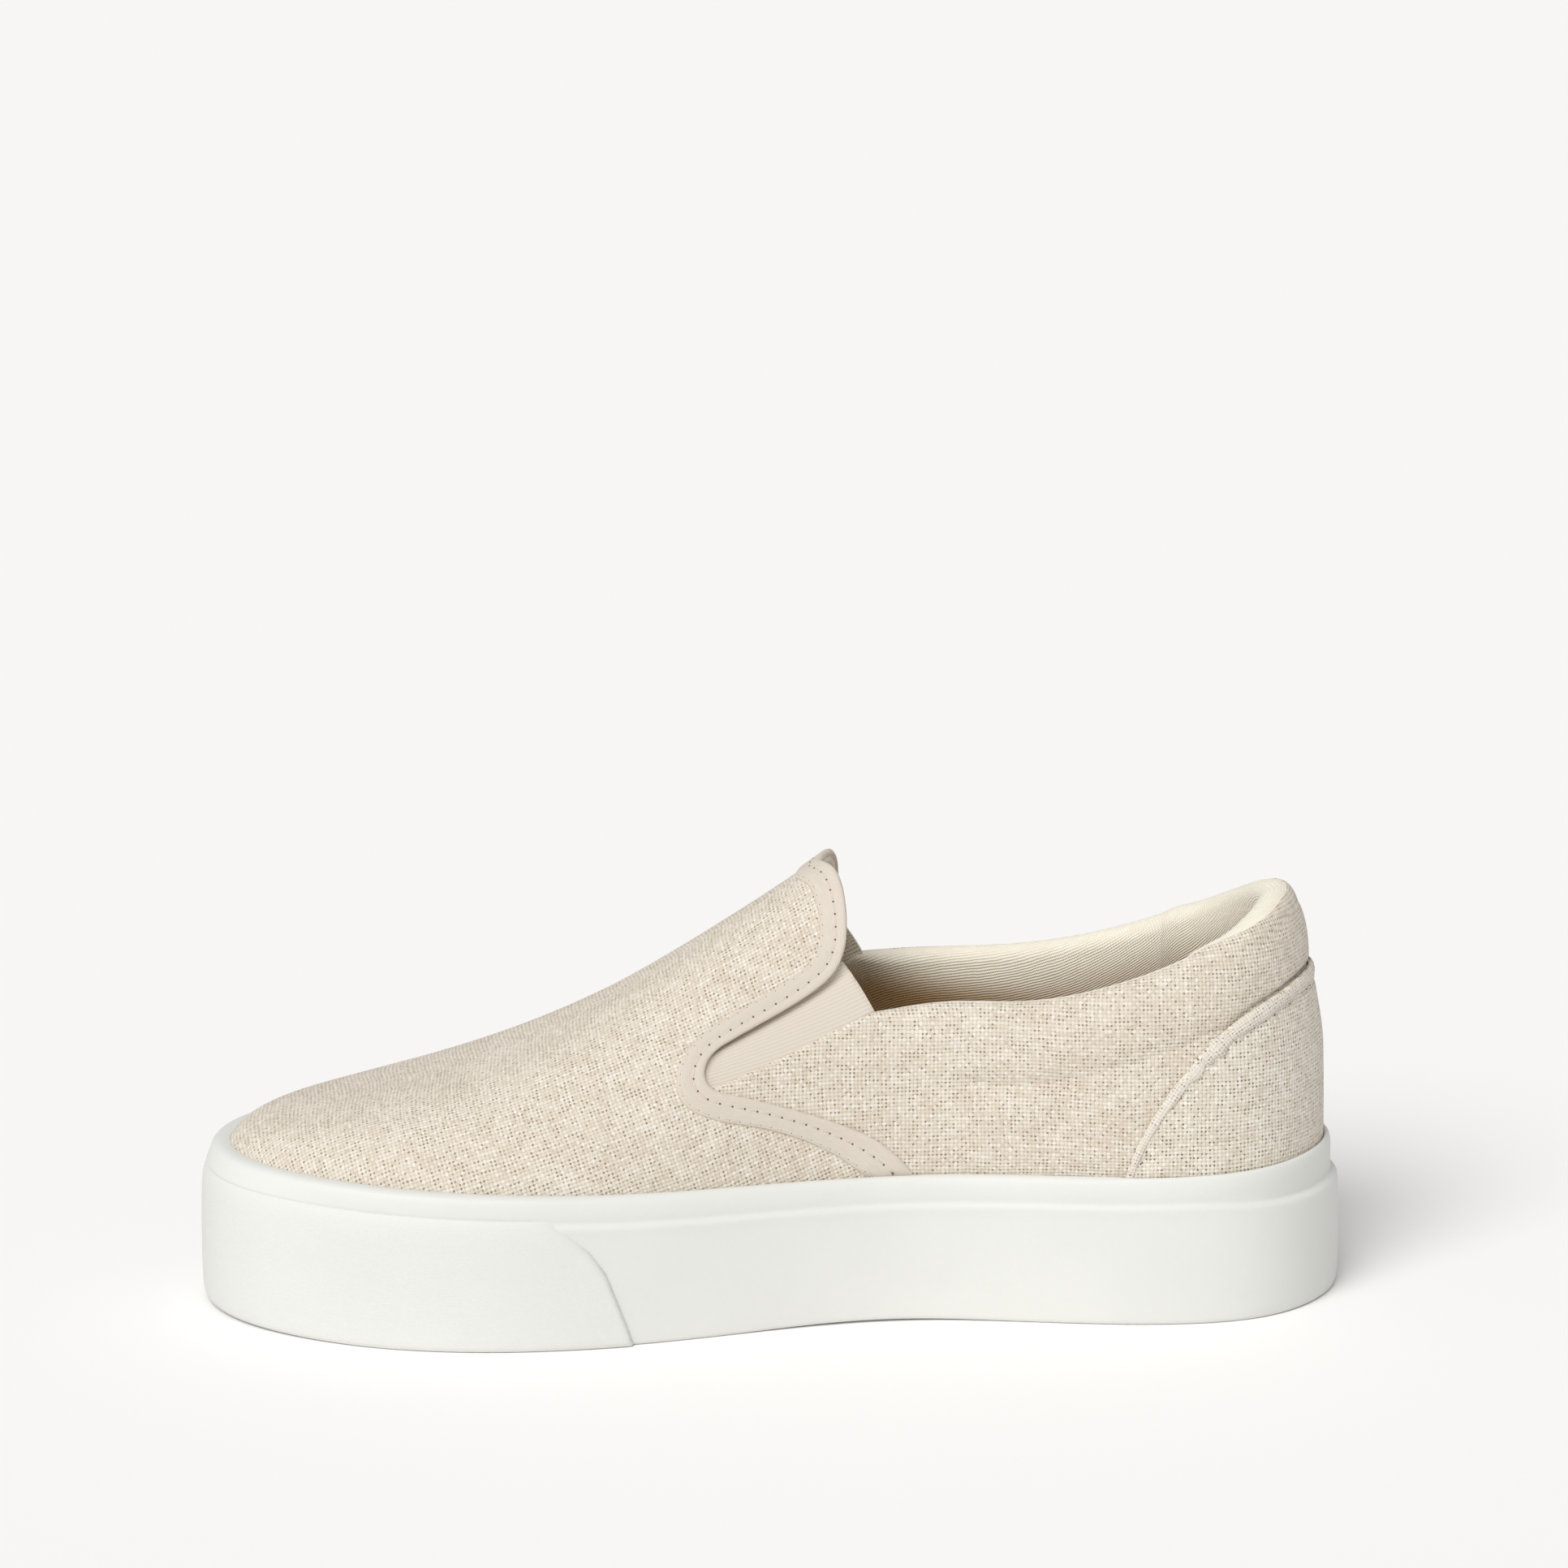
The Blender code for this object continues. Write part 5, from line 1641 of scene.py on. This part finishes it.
@dataclass
class Upper:
    """The cloth: vamp, quarters with their padded collar, gores, tape and heel counter.

    rim_edge, far_rim_edge and heel_rim_edge say how many degrees over the rim the canvas meets the
    lining, on the inner side, on the outer side and at the heel. The zones are distances behind the
    middle over which the collar's padding, the heel's shape and the counter's height set in.
    """

    vamp_out: float = 0.5
    vamp_under: float = -0.35
    tuck: float = 4.0
    step: float = 1.5
    crease_below: float = 16.0
    puff: float = 0.9
    heel_puff: float = 0.5
    heel_rise: float = 0.22
    heel_fullness: float = 0.3
    rim_edge: float = 74.0
    far_rim_edge: float = 48.0
    heel_rim_edge: float = 52.0
    panel: float = 1.2
    turn_wide: tuple[float, float] = (1.05, 1.85)
    turn_high: tuple[float, float] = (0.6, 0.8)
    collar_zone: tuple[float, float] = (24.0, 44.0)
    heel_zone: tuple[float, float] = (104.0, 160.0)
    panel_zone: tuple[float, float] = (112.0, 132.0)
    thin: float = 2.0
    tape_wide: float = 5.5
    edge_points: int = 400
    gore_ribs: int = 44
    collar_ribs: int = 118
    rib_steps: int = 200
    lining_foot: float = 28.0
    gore_span: tuple[float, float] = (36.6, 51.0)
    gore_front: float = 20.0
    gore_back: float = -16.2
    gore_inside: float = -2.6
    edge: Array = field(init=False)
    tape: Array = field(init=False)

    def __post_init__(self) -> None:
        """Draws the vamp's edge once, with the tape's inner edge beside it."""
        rows = np.array(VAMP_EDGE)
        whole = np.concatenate([rows[:0:-1] * (1, -1, 1, -1), rows])
        line = evened(whole, 2 * self.edge_points - 1)[self.edge_points - 1:]
        spot = LAST.face(line[:, 0], np.clip(line[:, 1], 0, GIRTH))
        tucked = spot[:, 2] < band_top(spot[:, 0]) - self.tuck
        line = line[:int(np.argmax(tucked)) + 1] if tucked.any() else line
        self.edge, self.tape = line[:, :2], line[:, 2:]

    def vamp_outline(self, step: float, down: Callable[[Array], Array], shrink: float = 0.0) -> Array:
        """The vamp's outline on the unrolled last.

        Args:
            step: the distance between its points.
            down: the height of its lower edge from x.
            shrink: how far its free edge is drawn in towards the tape's inner edge.

        Returns:
            A closed loop of unrolled places.
        """
        drawn = self.edge + (self.tape - self.edge) * shrink / self.tape_wide
        free = respaced(drawn, step)
        place = np.linspace(free[-1, 0], TOE_FRONT, 160)
        foot = LAST.face(*LAST.foot(place, 1.0))
        low = np.stack(LAST.at_height(place, 1.0, down(foot[:, 0])), axis=1)
        low = respaced(low[1:], step)
        half = np.concatenate([free, low])
        other = half[::-1] * (1, -1)
        return np.concatenate([half, other[1:-1]])

    def vamp(self) -> None:
        """The canvas over the toe and instep, and the lining under it."""
        pattern = Pattern(self.vamp_outline(0.9, lambda x: band_top(x) - self.tuck), self.step)
        u, v = pattern.points.T
        out = self.vamp_out + relief(VAMP_CREASES, u, v) * eased(pattern.edge, 0.0, 6.0)
        made = pattern.solid(
            "vamp_canvas", (u, v), out - rounded(pattern.edge, 0.6, 0.5),
            np.full(len(u), self.vamp_under) + rounded(pattern.edge, 0.3, 0.2),
            CLOTH.vamp(u, v), CANVAS, LINING)
        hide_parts("upper")
        under = Pattern(self.vamp_outline(2.0, lambda x: np.full(len(x), self.lining_foot), 0.8), 3.0)
        u, v = under.points.T
        outer, inner = np.full(len(u), -0.5), np.full(len(u), -1.7)
        under.solid("vamp_lining", (u, v), outer, inner + rounded(under.edge, 1.0, 0.5),
                    CLOTH.vamp(u, v), LINING, LINING)

    def tape_strip(self) -> None:
        """The tape that binds the vamp's edge, from one side of the sole over the tongue to the other."""
        half = np.concatenate([self.edge, self.tape], axis=1)
        whole = np.concatenate([half[:0:-1] * (1, -1, 1, -1), half])
        whole = respaced(whole, 0.8)
        edge, inner = whole[:, :2], whole[:, 2:]
        on_wing = eased(np.abs(edge[:, 1]), 46.0, 50.0)
        under = -0.75 + on_wing * 0.8
        profile = (
            (0.5, "under", 0.0), (0.1, "under", 0.0), (0.02, "under", 0.12), (-0.03, "under", 0.5),
            (-0.035, "top", -0.6), (-0.01, "top", -0.25), (0.04, "top", -0.06), (0.12, "top", 0.02),
            (0.24, "top", 0.0), (0.32, "top", -0.1), (0.38, "top", -0.14), (0.44, "top", -0.1),
            (0.55, "top", 0.02), (0.7, "top", 0.04), (0.84, "top", 0.0), (0.93, "top", -0.08),
            (0.985, "top", -0.22), (1.0, "base", 0.05), (0.99, "base", -0.1),
        )
        spot = LAST.face(edge[:, 0], edge[:, 1])
        points, cloth = [], []
        far = walked(LAST.face(*edge.T))
        for share, kind, more in profile:
            at = edge + (inner - edge) * share
            at[:, 1] = np.clip(at[:, 1], -GIRTH, GIRTH)
            place = LAST.face(*at.T)
            free = eased(place[:, 2] - band_top(place[:, 0]), -0.3, 1.6)
            level = {"under": under, "top": self.vamp_out + 0.1 + 0.5 * free, "base": self.vamp_out}[kind]
            points.append(LAST.skin(*at.T, level + more * np.maximum(free, 0.2)))
            cloth.append(np.stack([far, np.full(len(far), share * 6.0)], axis=1))
        points, cloth = np.stack(points, axis=1), np.stack(cloth, axis=1)
        faces = ring_faces(len(edge), points.shape[1], False)
        made = closed_piece("edge_tape", points, faces, (TAPE,), cloth.reshape(-1, 2), crisp=60.0)
        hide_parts("vamp_tape_medial", "vamp_tape_lateral")
        clear = spot[:, 2] > band_top(spot[:, 0]) + 0.8
        for name, share, pitch in (("edge_stitches", 0.38, 3.1), ("tape_stitches", 0.88, 2.6)):
            line = (edge + (inner - edge) * share)[clear]
            size = {"hole": 0.62} if share < 0.5 else {"hole": 0.34, "length": 1.9, "thick": 0.4}
            out = self.vamp_out + (0.42 if share < 0.5 else 0.5)
            stitches_on(name, tuple(line.T), out, THREAD, pitch=pitch, **size).sew()

    def ribs(self) -> tuple[Array, Array]:
        """The quarters' ribs all round, from the inner side's front to the outer side's.

        Returns:
            The ribs and the side of each.
        """
        front = evened(GORE_RIBS, self.gore_ribs)[:-1]
        rows = np.array(COLLAR_RIBS)
        beyond = rows[-2::-1] * (1, -1, 1, -1, 1) + (0, 0, 0, 2 * HEEL_BACK, 0)
        collar = evened(np.concatenate([rows, beyond]), 2 * self.collar_ribs - 1)[:self.collar_ribs]
        medial = np.concatenate([front, collar])
        lateral = medial[-2::-1].copy()
        ridge = np.clip(lateral[:, 0], HEEL_CENTRE, TOE_CENTRE)
        lateral[:, 0] = ridge + (lateral[:, 0] - ridge) * (1 + lateral[:, 4])
        lateral[:, 1] *= -1 - lateral[:, 4]
        side = np.concatenate([np.ones(len(medial)), -np.ones(len(lateral))])
        return np.concatenate([medial, lateral]), side

    def quarters(self) -> None:
        """The canvas sides, rolled over a padded collar into the lining."""
        ribs, side = self.ribs()
        foot_u, foot_v = LAST.foot(ribs[:, 3], side)
        tops, wall, feet = ribs[:, :2], ribs[:, 2], np.stack([foot_u, foot_v], axis=1)
        foot = LAST.face(foot_u, foot_v)
        even = np.linspace(0, 1, self.rib_steps)
        dense = feet[:, None] + (tops - feet)[:, None] * even[None, :, None]
        steps = np.linalg.norm(np.diff(LAST.face(dense[..., 0], dense[..., 1]), axis=1), axis=2)
        run = np.concatenate([np.zeros((len(ribs), 1)), np.cumsum(steps, axis=1)], axis=1)
        total = run[:, -1]
        heel = eased(-ribs[:, 3], *self.heel_zone)
        collar = eased(-ribs[:, 0], *self.collar_zone)
        points, cloth, worn = [], [], []

        def begin(z: Array) -> Array:
            """How far up each rib a height is reached, in millimetres.

            Args:
                z: the heights, one for each rib.

            Returns:
                The distances, one for each rib.
            """
            low, high = np.zeros(len(ribs)), np.ones(len(ribs))
            for _ in range(20):
                middle = (low + high) / 2
                above = LAST.face(*(feet + (tops - feet) * middle[:, None]).T)[:, 2] > z
                high, low = np.where(above, middle, high), np.where(above, low, middle)
            return np.array([np.interp(s, even, r) for s, r in zip(low, run)])

        def place(down: Array) -> Array:
            """Unrolled places at a distance below the rim.

            Args:
                down: the distances, one for each rib.

            Returns:
                One pair of u and v for each rib.
            """
            share = np.array([np.interp(t - d, r, even) for t, d, r in zip(total, down, run)])
            return feet + (tops - feet) * share[:, None]

        crest = CLOTH.quarter(*tops.T)
        depth = total - begin(band_top(foot[:, 0]) - self.tuck)
        over_panel = total - begin(table(COUNTER_EDGE)(ribs[:, 3])) - 0.35
        raised = eased(-ribs[:, 3], *self.panel_zone)
        below = self.crease_below + (over_panel - self.crease_below) * raised
        below = np.minimum(below, depth * 0.62)
        edge_line = self.edge[::-1]
        downs = [below + 2.2 + (depth - below - 2.2) * share for share in np.linspace(1, 0, 18)]
        downs += [below + more for more in (1.5, 1.0, 0.6, 0.3, 0.0, -0.3, -0.6, -1.0, -1.6, -2.4)]
        downs += [(below - 2.4) * share for share in np.linspace(1, 0, 13)[1:-1]]
        for down in downs:
            at = place(down)
            out = relief(QUARTER_CREASES, *at.T)
            share = np.clip(down / below, 0, 1)
            bulge = np.clip(1 - np.abs(2 * share - 1) ** (2.2 + 1.6 * heel * (share > 0.5)), 0, 1)
            bulge = bulge ** (1.0 - 0.4 * heel)
            out = out + collar * (self.puff + (self.heel_puff - self.puff) * heel) * bulge
            out = out - collar * (0.2 + 0.6 * heel) * np.exp(-((down - below) / (1.8 - 1.0 * heel)) ** 2)
            tucked = self.covered(at, edge_line)
            out = out * (1 - tucked) - 0.6 * tucked
            points.append(LAST.skin(*at.T, out))
            cloth.append(CLOTH.quarter(*at.T))
            worn.append(0)
        rim, under = LAST.skin(*tops.T, 0.0), LAST.skin(*tops.T, -wall)
        up = rim - points[-1]
        across = (under - rim) / wall[:, None]
        up -= across * np.sum(up * across, axis=1, keepdims=True)
        up /= np.linalg.norm(up, axis=1, keepdims=True)
        radius = wall / 2
        sides = np.where(side > 0, self.rim_edge, self.far_rim_edge)
        seam = np.radians(sides + (self.heel_rim_edge - sides) * heel)
        rolls = [(seam * share, 0.12 * share, 0) for share in np.linspace(0, 1, 7)]
        rolls += [(seam + 0.02 + (math.pi - seam - 0.02) * share, -0.14 * (1 - share) ** 2, 1)
                  for share in np.linspace(0, 1, 12)]
        for turn, more, finish in rolls:
            size = (radius + more)[:, None]
            full = 1 - self.heel_fullness * heel
            rise = np.sin(turn) ** full * (1 + self.heel_rise * heel)
            aside = np.sign(np.cos(turn)) * np.abs(np.cos(turn)) ** full
            way = up * rise[:, None] - across * aside[:, None]
            points.append(rim + across * radius[:, None] + way * size)
            cloth.append(np.stack([crest[:, 0], crest[:, 1] + radius * turn], axis=1))
            worn.append(finish)
        inner_depth = total - begin(np.full(len(ribs), self.lining_foot))
        for share in np.linspace(0, 1, 24)[1:]:
            down = inner_depth * share ** 1.2
            at = place(down)
            fade = eased(down, 0.0, 24.0)
            pad = collar * 0.9 * np.sin(np.clip(down / 18.0, 0, 1) * math.pi)
            thick = self.thin + (wall - self.thin) * (1 - fade) + pad
            points.append(LAST.skin(*at.T, -np.maximum(thick, 1.5)))
            round_to, up_to = CLOTH.quarter(*at.T).T
            cloth.append(np.stack([round_to, 2 * crest[:, 1] - up_to + wall * 1.57], axis=1))
            worn.append(1)
        points, cloth = np.stack(points, axis=1), np.stack(cloth, axis=1)
        faces = ring_faces(len(ribs), points.shape[1], False)
        worn = worn * (len(ribs) - 1) + [1, 1]
        made = closed_piece("quarters", points, faces, (CANVAS, LINING), cloth.reshape(-1, 2), worn, 60.0)

    @staticmethod
    def covered(at: Array, edge_line: Array) -> Array:
        """1 where a place is well under the vamp, 0 where it shows.

        Args:
            at: unrolled places.
            edge_line: the vamp's free edge.

        Returns:
            A share for each place.
        """
        flat = np.stack([at[:, 0], np.abs(at[:, 1])], axis=1)
        near = Pattern.distance(flat, edge_line, closed=False)
        loop = np.concatenate([edge_line, [[140.0, 0.0], [140.0, 90.0], [edge_line[0, 0], 90.0]]])
        inside = Pattern.inside(flat, loop)
        return np.where(inside, eased(near, 0.5, 3.0), 0.0)

    def gore(self, side: Side) -> None:
        """The elastic gore, a little below the canvas round it.

        Args:
            side: the side it is on.
        """
        rows, columns = 31, 64
        v = np.linspace(*self.gore_span, rows)[:, None]
        back = self.gore_back - 0.62 * (v - 36.7)
        u = back + (self.gore_front - back) * np.linspace(0, 1, columns)[None, :]
        v = np.broadcast_to(v, u.shape)
        shown = np.clip((v - 39.2) / (48.6 - 39.2), 0, 1)
        out = -1.0 + 0.55 * np.sin(shown * math.pi / 2) - 0.6 * eased(v, 48.4, 49.6)
        out = out - 1.1 * (1 - eased(v, 38.8, 41.0))
        free = walked(np.stack([u[rows // 2], v[rows // 2]], axis=1))
        out = out - rounded(free, 0.7, 0.45)[None, :]
        within = np.full(u.shape, self.gore_inside)
        grids = [LAST.skin(u, v * side.value, out), LAST.skin(u, v * side.value, within)]
        cloth = np.stack([u, v], axis=-1).reshape(-1, 2)
        shift = rows * columns
        faces: list[tuple[int, ...]] = []
        for i in range(rows - 1):
            for j in range(columns - 1):
                a, b = i * columns + j, (i + 1) * columns + j
                faces.append((a, a + 1, b + 1, b))
        rim = [(0, j) for j in range(columns)] + [(i, columns - 1) for i in range(1, rows)]
        rim += [(rows - 1, j) for j in range(columns - 2, -1, -1)] + [(i, 0) for i in range(rows - 2, 0, -1)]
        rim = [i * columns + j for i, j in rim]
        worn = [0] * len(faces) + [1] * len(faces)
        faces += [tuple(k + shift for k in reversed(face)) for face in faces]
        for a, b in zip(rim, rim[1:] + rim[:1]):
            faces.append((b, a, a + shift, b + shift))
            worn.append(0)
        points = np.concatenate([grid.reshape(-1, 3) for grid in grids])
        name = side.name.lower()
        made = closed_piece(f"elastic_{name}", points, faces, (ELASTIC, LINING),
                            np.concatenate([cloth, cloth]), worn, 60.0)
        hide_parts(f"gore_{name}")

    @staticmethod
    def on_heel(flat: Array) -> Laid:
        """Unrolled places of points given by the distance round from the heel and the height.

        Args:
            flat: pairs of that distance and height.

        Returns:
            The places' u and v.
        """
        u, v = np.empty(len(flat)), np.empty(len(flat))
        for side in Side:
            mine = flat[:, 0] >= 0 if side is Side.MEDIAL else flat[:, 0] < 0
            place = np.interp(np.abs(flat[mine, 0]), CLOTH.round[side], CLOTH.place)
            u[mine], v[mine] = LAST.at_height(place, side.value, flat[mine, 1])
        return u, v

    def counter(self) -> None:
        """The canvas panel round the heel, with its turned edge and the stitches beside it."""
        dense = evened(COUNTER_EDGE, 240)
        foot = LAST.face(*LAST.foot(dense[:1, 0], 1.0))
        low = float(band_top(foot[0, 0])) - self.tuck
        dense = dense[dense[:, 1] > low]
        edges = {side: np.stack([CLOTH.around(dense[:, 0], side), dense[:, 1]], axis=1) for side in Side}
        free = respaced(np.concatenate([edges[Side.MEDIAL], edges[Side.LATERAL][-2::-1]]), 0.8)
        bottom = respaced(np.array([[free[-1, 0], low], [free[0, 0], low]]), 1.5)
        pattern = Pattern(np.concatenate([free, bottom[1:-1]]), 1.5)
        near = Pattern.distance(pattern.points, free, closed=False)
        narrow, wide = self.turn_wide
        crease = 2 * (narrow + (wide - narrow) * eased(pattern.points[:, 1], 50.0, 70.0)) + 0.3
        out = self.panel - 0.45 * np.exp(-((near - crease) / 0.6) ** 2) - rounded(near, 0.8, 0.5)
        made = pattern.solid("heel_panel", self.on_heel(pattern.points), out, np.full(len(near), 0.12),
                             pattern.points, COUNTER_CANVAS, COUNTER_CANVAS)
        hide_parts("heel_counter")
        points, cloth = [], []
        far = walked(free)
        wobble = 1 + 0.14 * np.sin(far / 2.9 + 1.4 * np.sin(far / 7.3)) + 0.08 * np.sin(far / 1.3)
        knuckle = eased(free[:, 1], 57.0, 62.0) * (1 - eased(free[:, 1], 68.0, 73.0))
        wobble = wobble + 0.3 * knuckle * np.sin(far / 0.75 + 1.2 * np.sin(far / 2.1))
        top = eased(free[:, 1], 50.0, 70.0)
        half = narrow + (wide - narrow) * top
        flat, proud = self.turn_high
        high = (flat + (proud - flat) * top) * (0.25 + 0.75 * eased(free[:, 1], 35.5, 38.5))
        for turn in np.radians(np.arange(0, 360, 30)):
            spot = self.on_heel(beside(free, half * (1 - math.cos(turn) * wobble)))
            rise = high * math.sin(turn) * (wobble if turn < math.pi else 0.2)
            points.append(LAST.skin(*spot, self.panel - 0.4 + rise))
            cloth.append(np.stack([far, half * turn], axis=1))
        points, cloth = np.stack(points, axis=1), np.stack(cloth, axis=1)
        closed_piece("counter_edge", points, ring_faces(len(free), points.shape[1], False), (PIPING,),
                     cloth.reshape(-1, 2), crisp=70.0)
        line = beside(free, 2 * half + 0.3)
        line = line[line[:, 1] > band_top(-90.0) + 1.5]
        stitches_on("counter_stitches", self.on_heel(line), self.panel - 0.35, CANVAS_THREAD,
                    hole=0.5, thick=0.4).sew()

    def build(self) -> None:
        """Builds every cloth piece."""
        self.vamp()
        self.tape_strip()
        self.quarters()
        for side in Side:
            self.gore(side)
        self.counter()


@dataclass
class Studio:
    """The floor, the light and the camera. Places are in metres and angles in degrees."""

    eye: tuple[float, float, float] = (0.06674148, 1.52863131, 0.51279473)
    pitch: float = 14.227
    yaw: float = 2.625
    lens: float = 151.57
    sun: float = 2.3
    sun_height: float = 45.0
    sun_turn: float = 29.0
    sun_size: float = 38.0
    sky: float = 0.465
    reach: float = 14.0
    film: float = 36.0

    @staticmethod
    def looking_from(height: float, turn: float) -> Any:
        """The rotation of what looks down by one angle and is turned by another, both in degrees.

        Args:
            height: how far it looks down.
            turn: how far round it stands.

        Returns:
            The rotation.
        """
        high, round_ = math.radians(height), math.radians(turn)
        back = Vector((math.sin(round_) * math.cos(high), math.cos(round_) * math.cos(high), math.sin(high)))
        return back.to_track_quat("Z", "Y").to_euler()

    def build(self) -> None:
        """Builds the studio round the shoe."""
        mesh = bpy.data.meshes.new("floor")
        corners = [(x * self.reach, y * self.reach, 0) for x, y in ((-1, -1), (1, -1), (1, 1), (-1, 1))]
        mesh.from_pydata(corners, [], [(0, 1, 2, 3)])
        floor = placed("floor", mesh)
        book = NodeBook("studio_floor")
        cloud = book.noise(book.object_place(), 0.6, 2.0)
        colour = book.blend(cloud, (0.945, 0.935, 0.925), (0.955, 0.945, 0.935))
        mesh.materials.append(book.finish(colour, 0.9, Specular_IOR_Level=0.0))
        world = bpy.data.worlds.new("soft_sky")
        bpy.context.scene.world = world
        world.use_nodes = True
        sky = world.node_tree.nodes["Background"]
        sky.inputs["Color"].default_value = (1.0, 0.995, 0.99, 1.0)
        sky.inputs["Strength"].default_value = self.sky
        lamp = bpy.data.lights.new("key", "SUN")
        lamp.energy, lamp.angle = self.sun, math.radians(self.sun_size)
        key = placed("key", lamp)
        key.rotation_euler = self.looking_from(self.sun_height, self.sun_turn)
        lens = bpy.data.cameras.new("camera")
        lens.lens, lens.sensor_width = self.lens, self.film
        lens.clip_start, lens.clip_end = 0.05, 60.0
        camera = placed("camera", lens)
        camera.location = self.eye
        camera.rotation_euler = self.looking_from(self.pitch, self.yaw)
        bpy.context.scene.camera = camera
        bpy.context.scene.view_settings.view_transform = "Standard"


def main() -> None:
    """Builds the shoe and its studio, and logs each new mesh with its number of faces."""
    logging.basicConfig(level=logging.INFO, format="%(message)s")
    for maker in (Sole(), Footbed(), Upper(), Studio()):
        known = set(bpy.data.objects.keys())
        maker.build()
        for made in bpy.data.objects:
            if made.name not in known and made.type == "MESH":
                LOG.info("%s: %s, %d faces", type(maker).__name__, made.name, len(made.data.polygons))


if __name__ == "__main__":
    main()
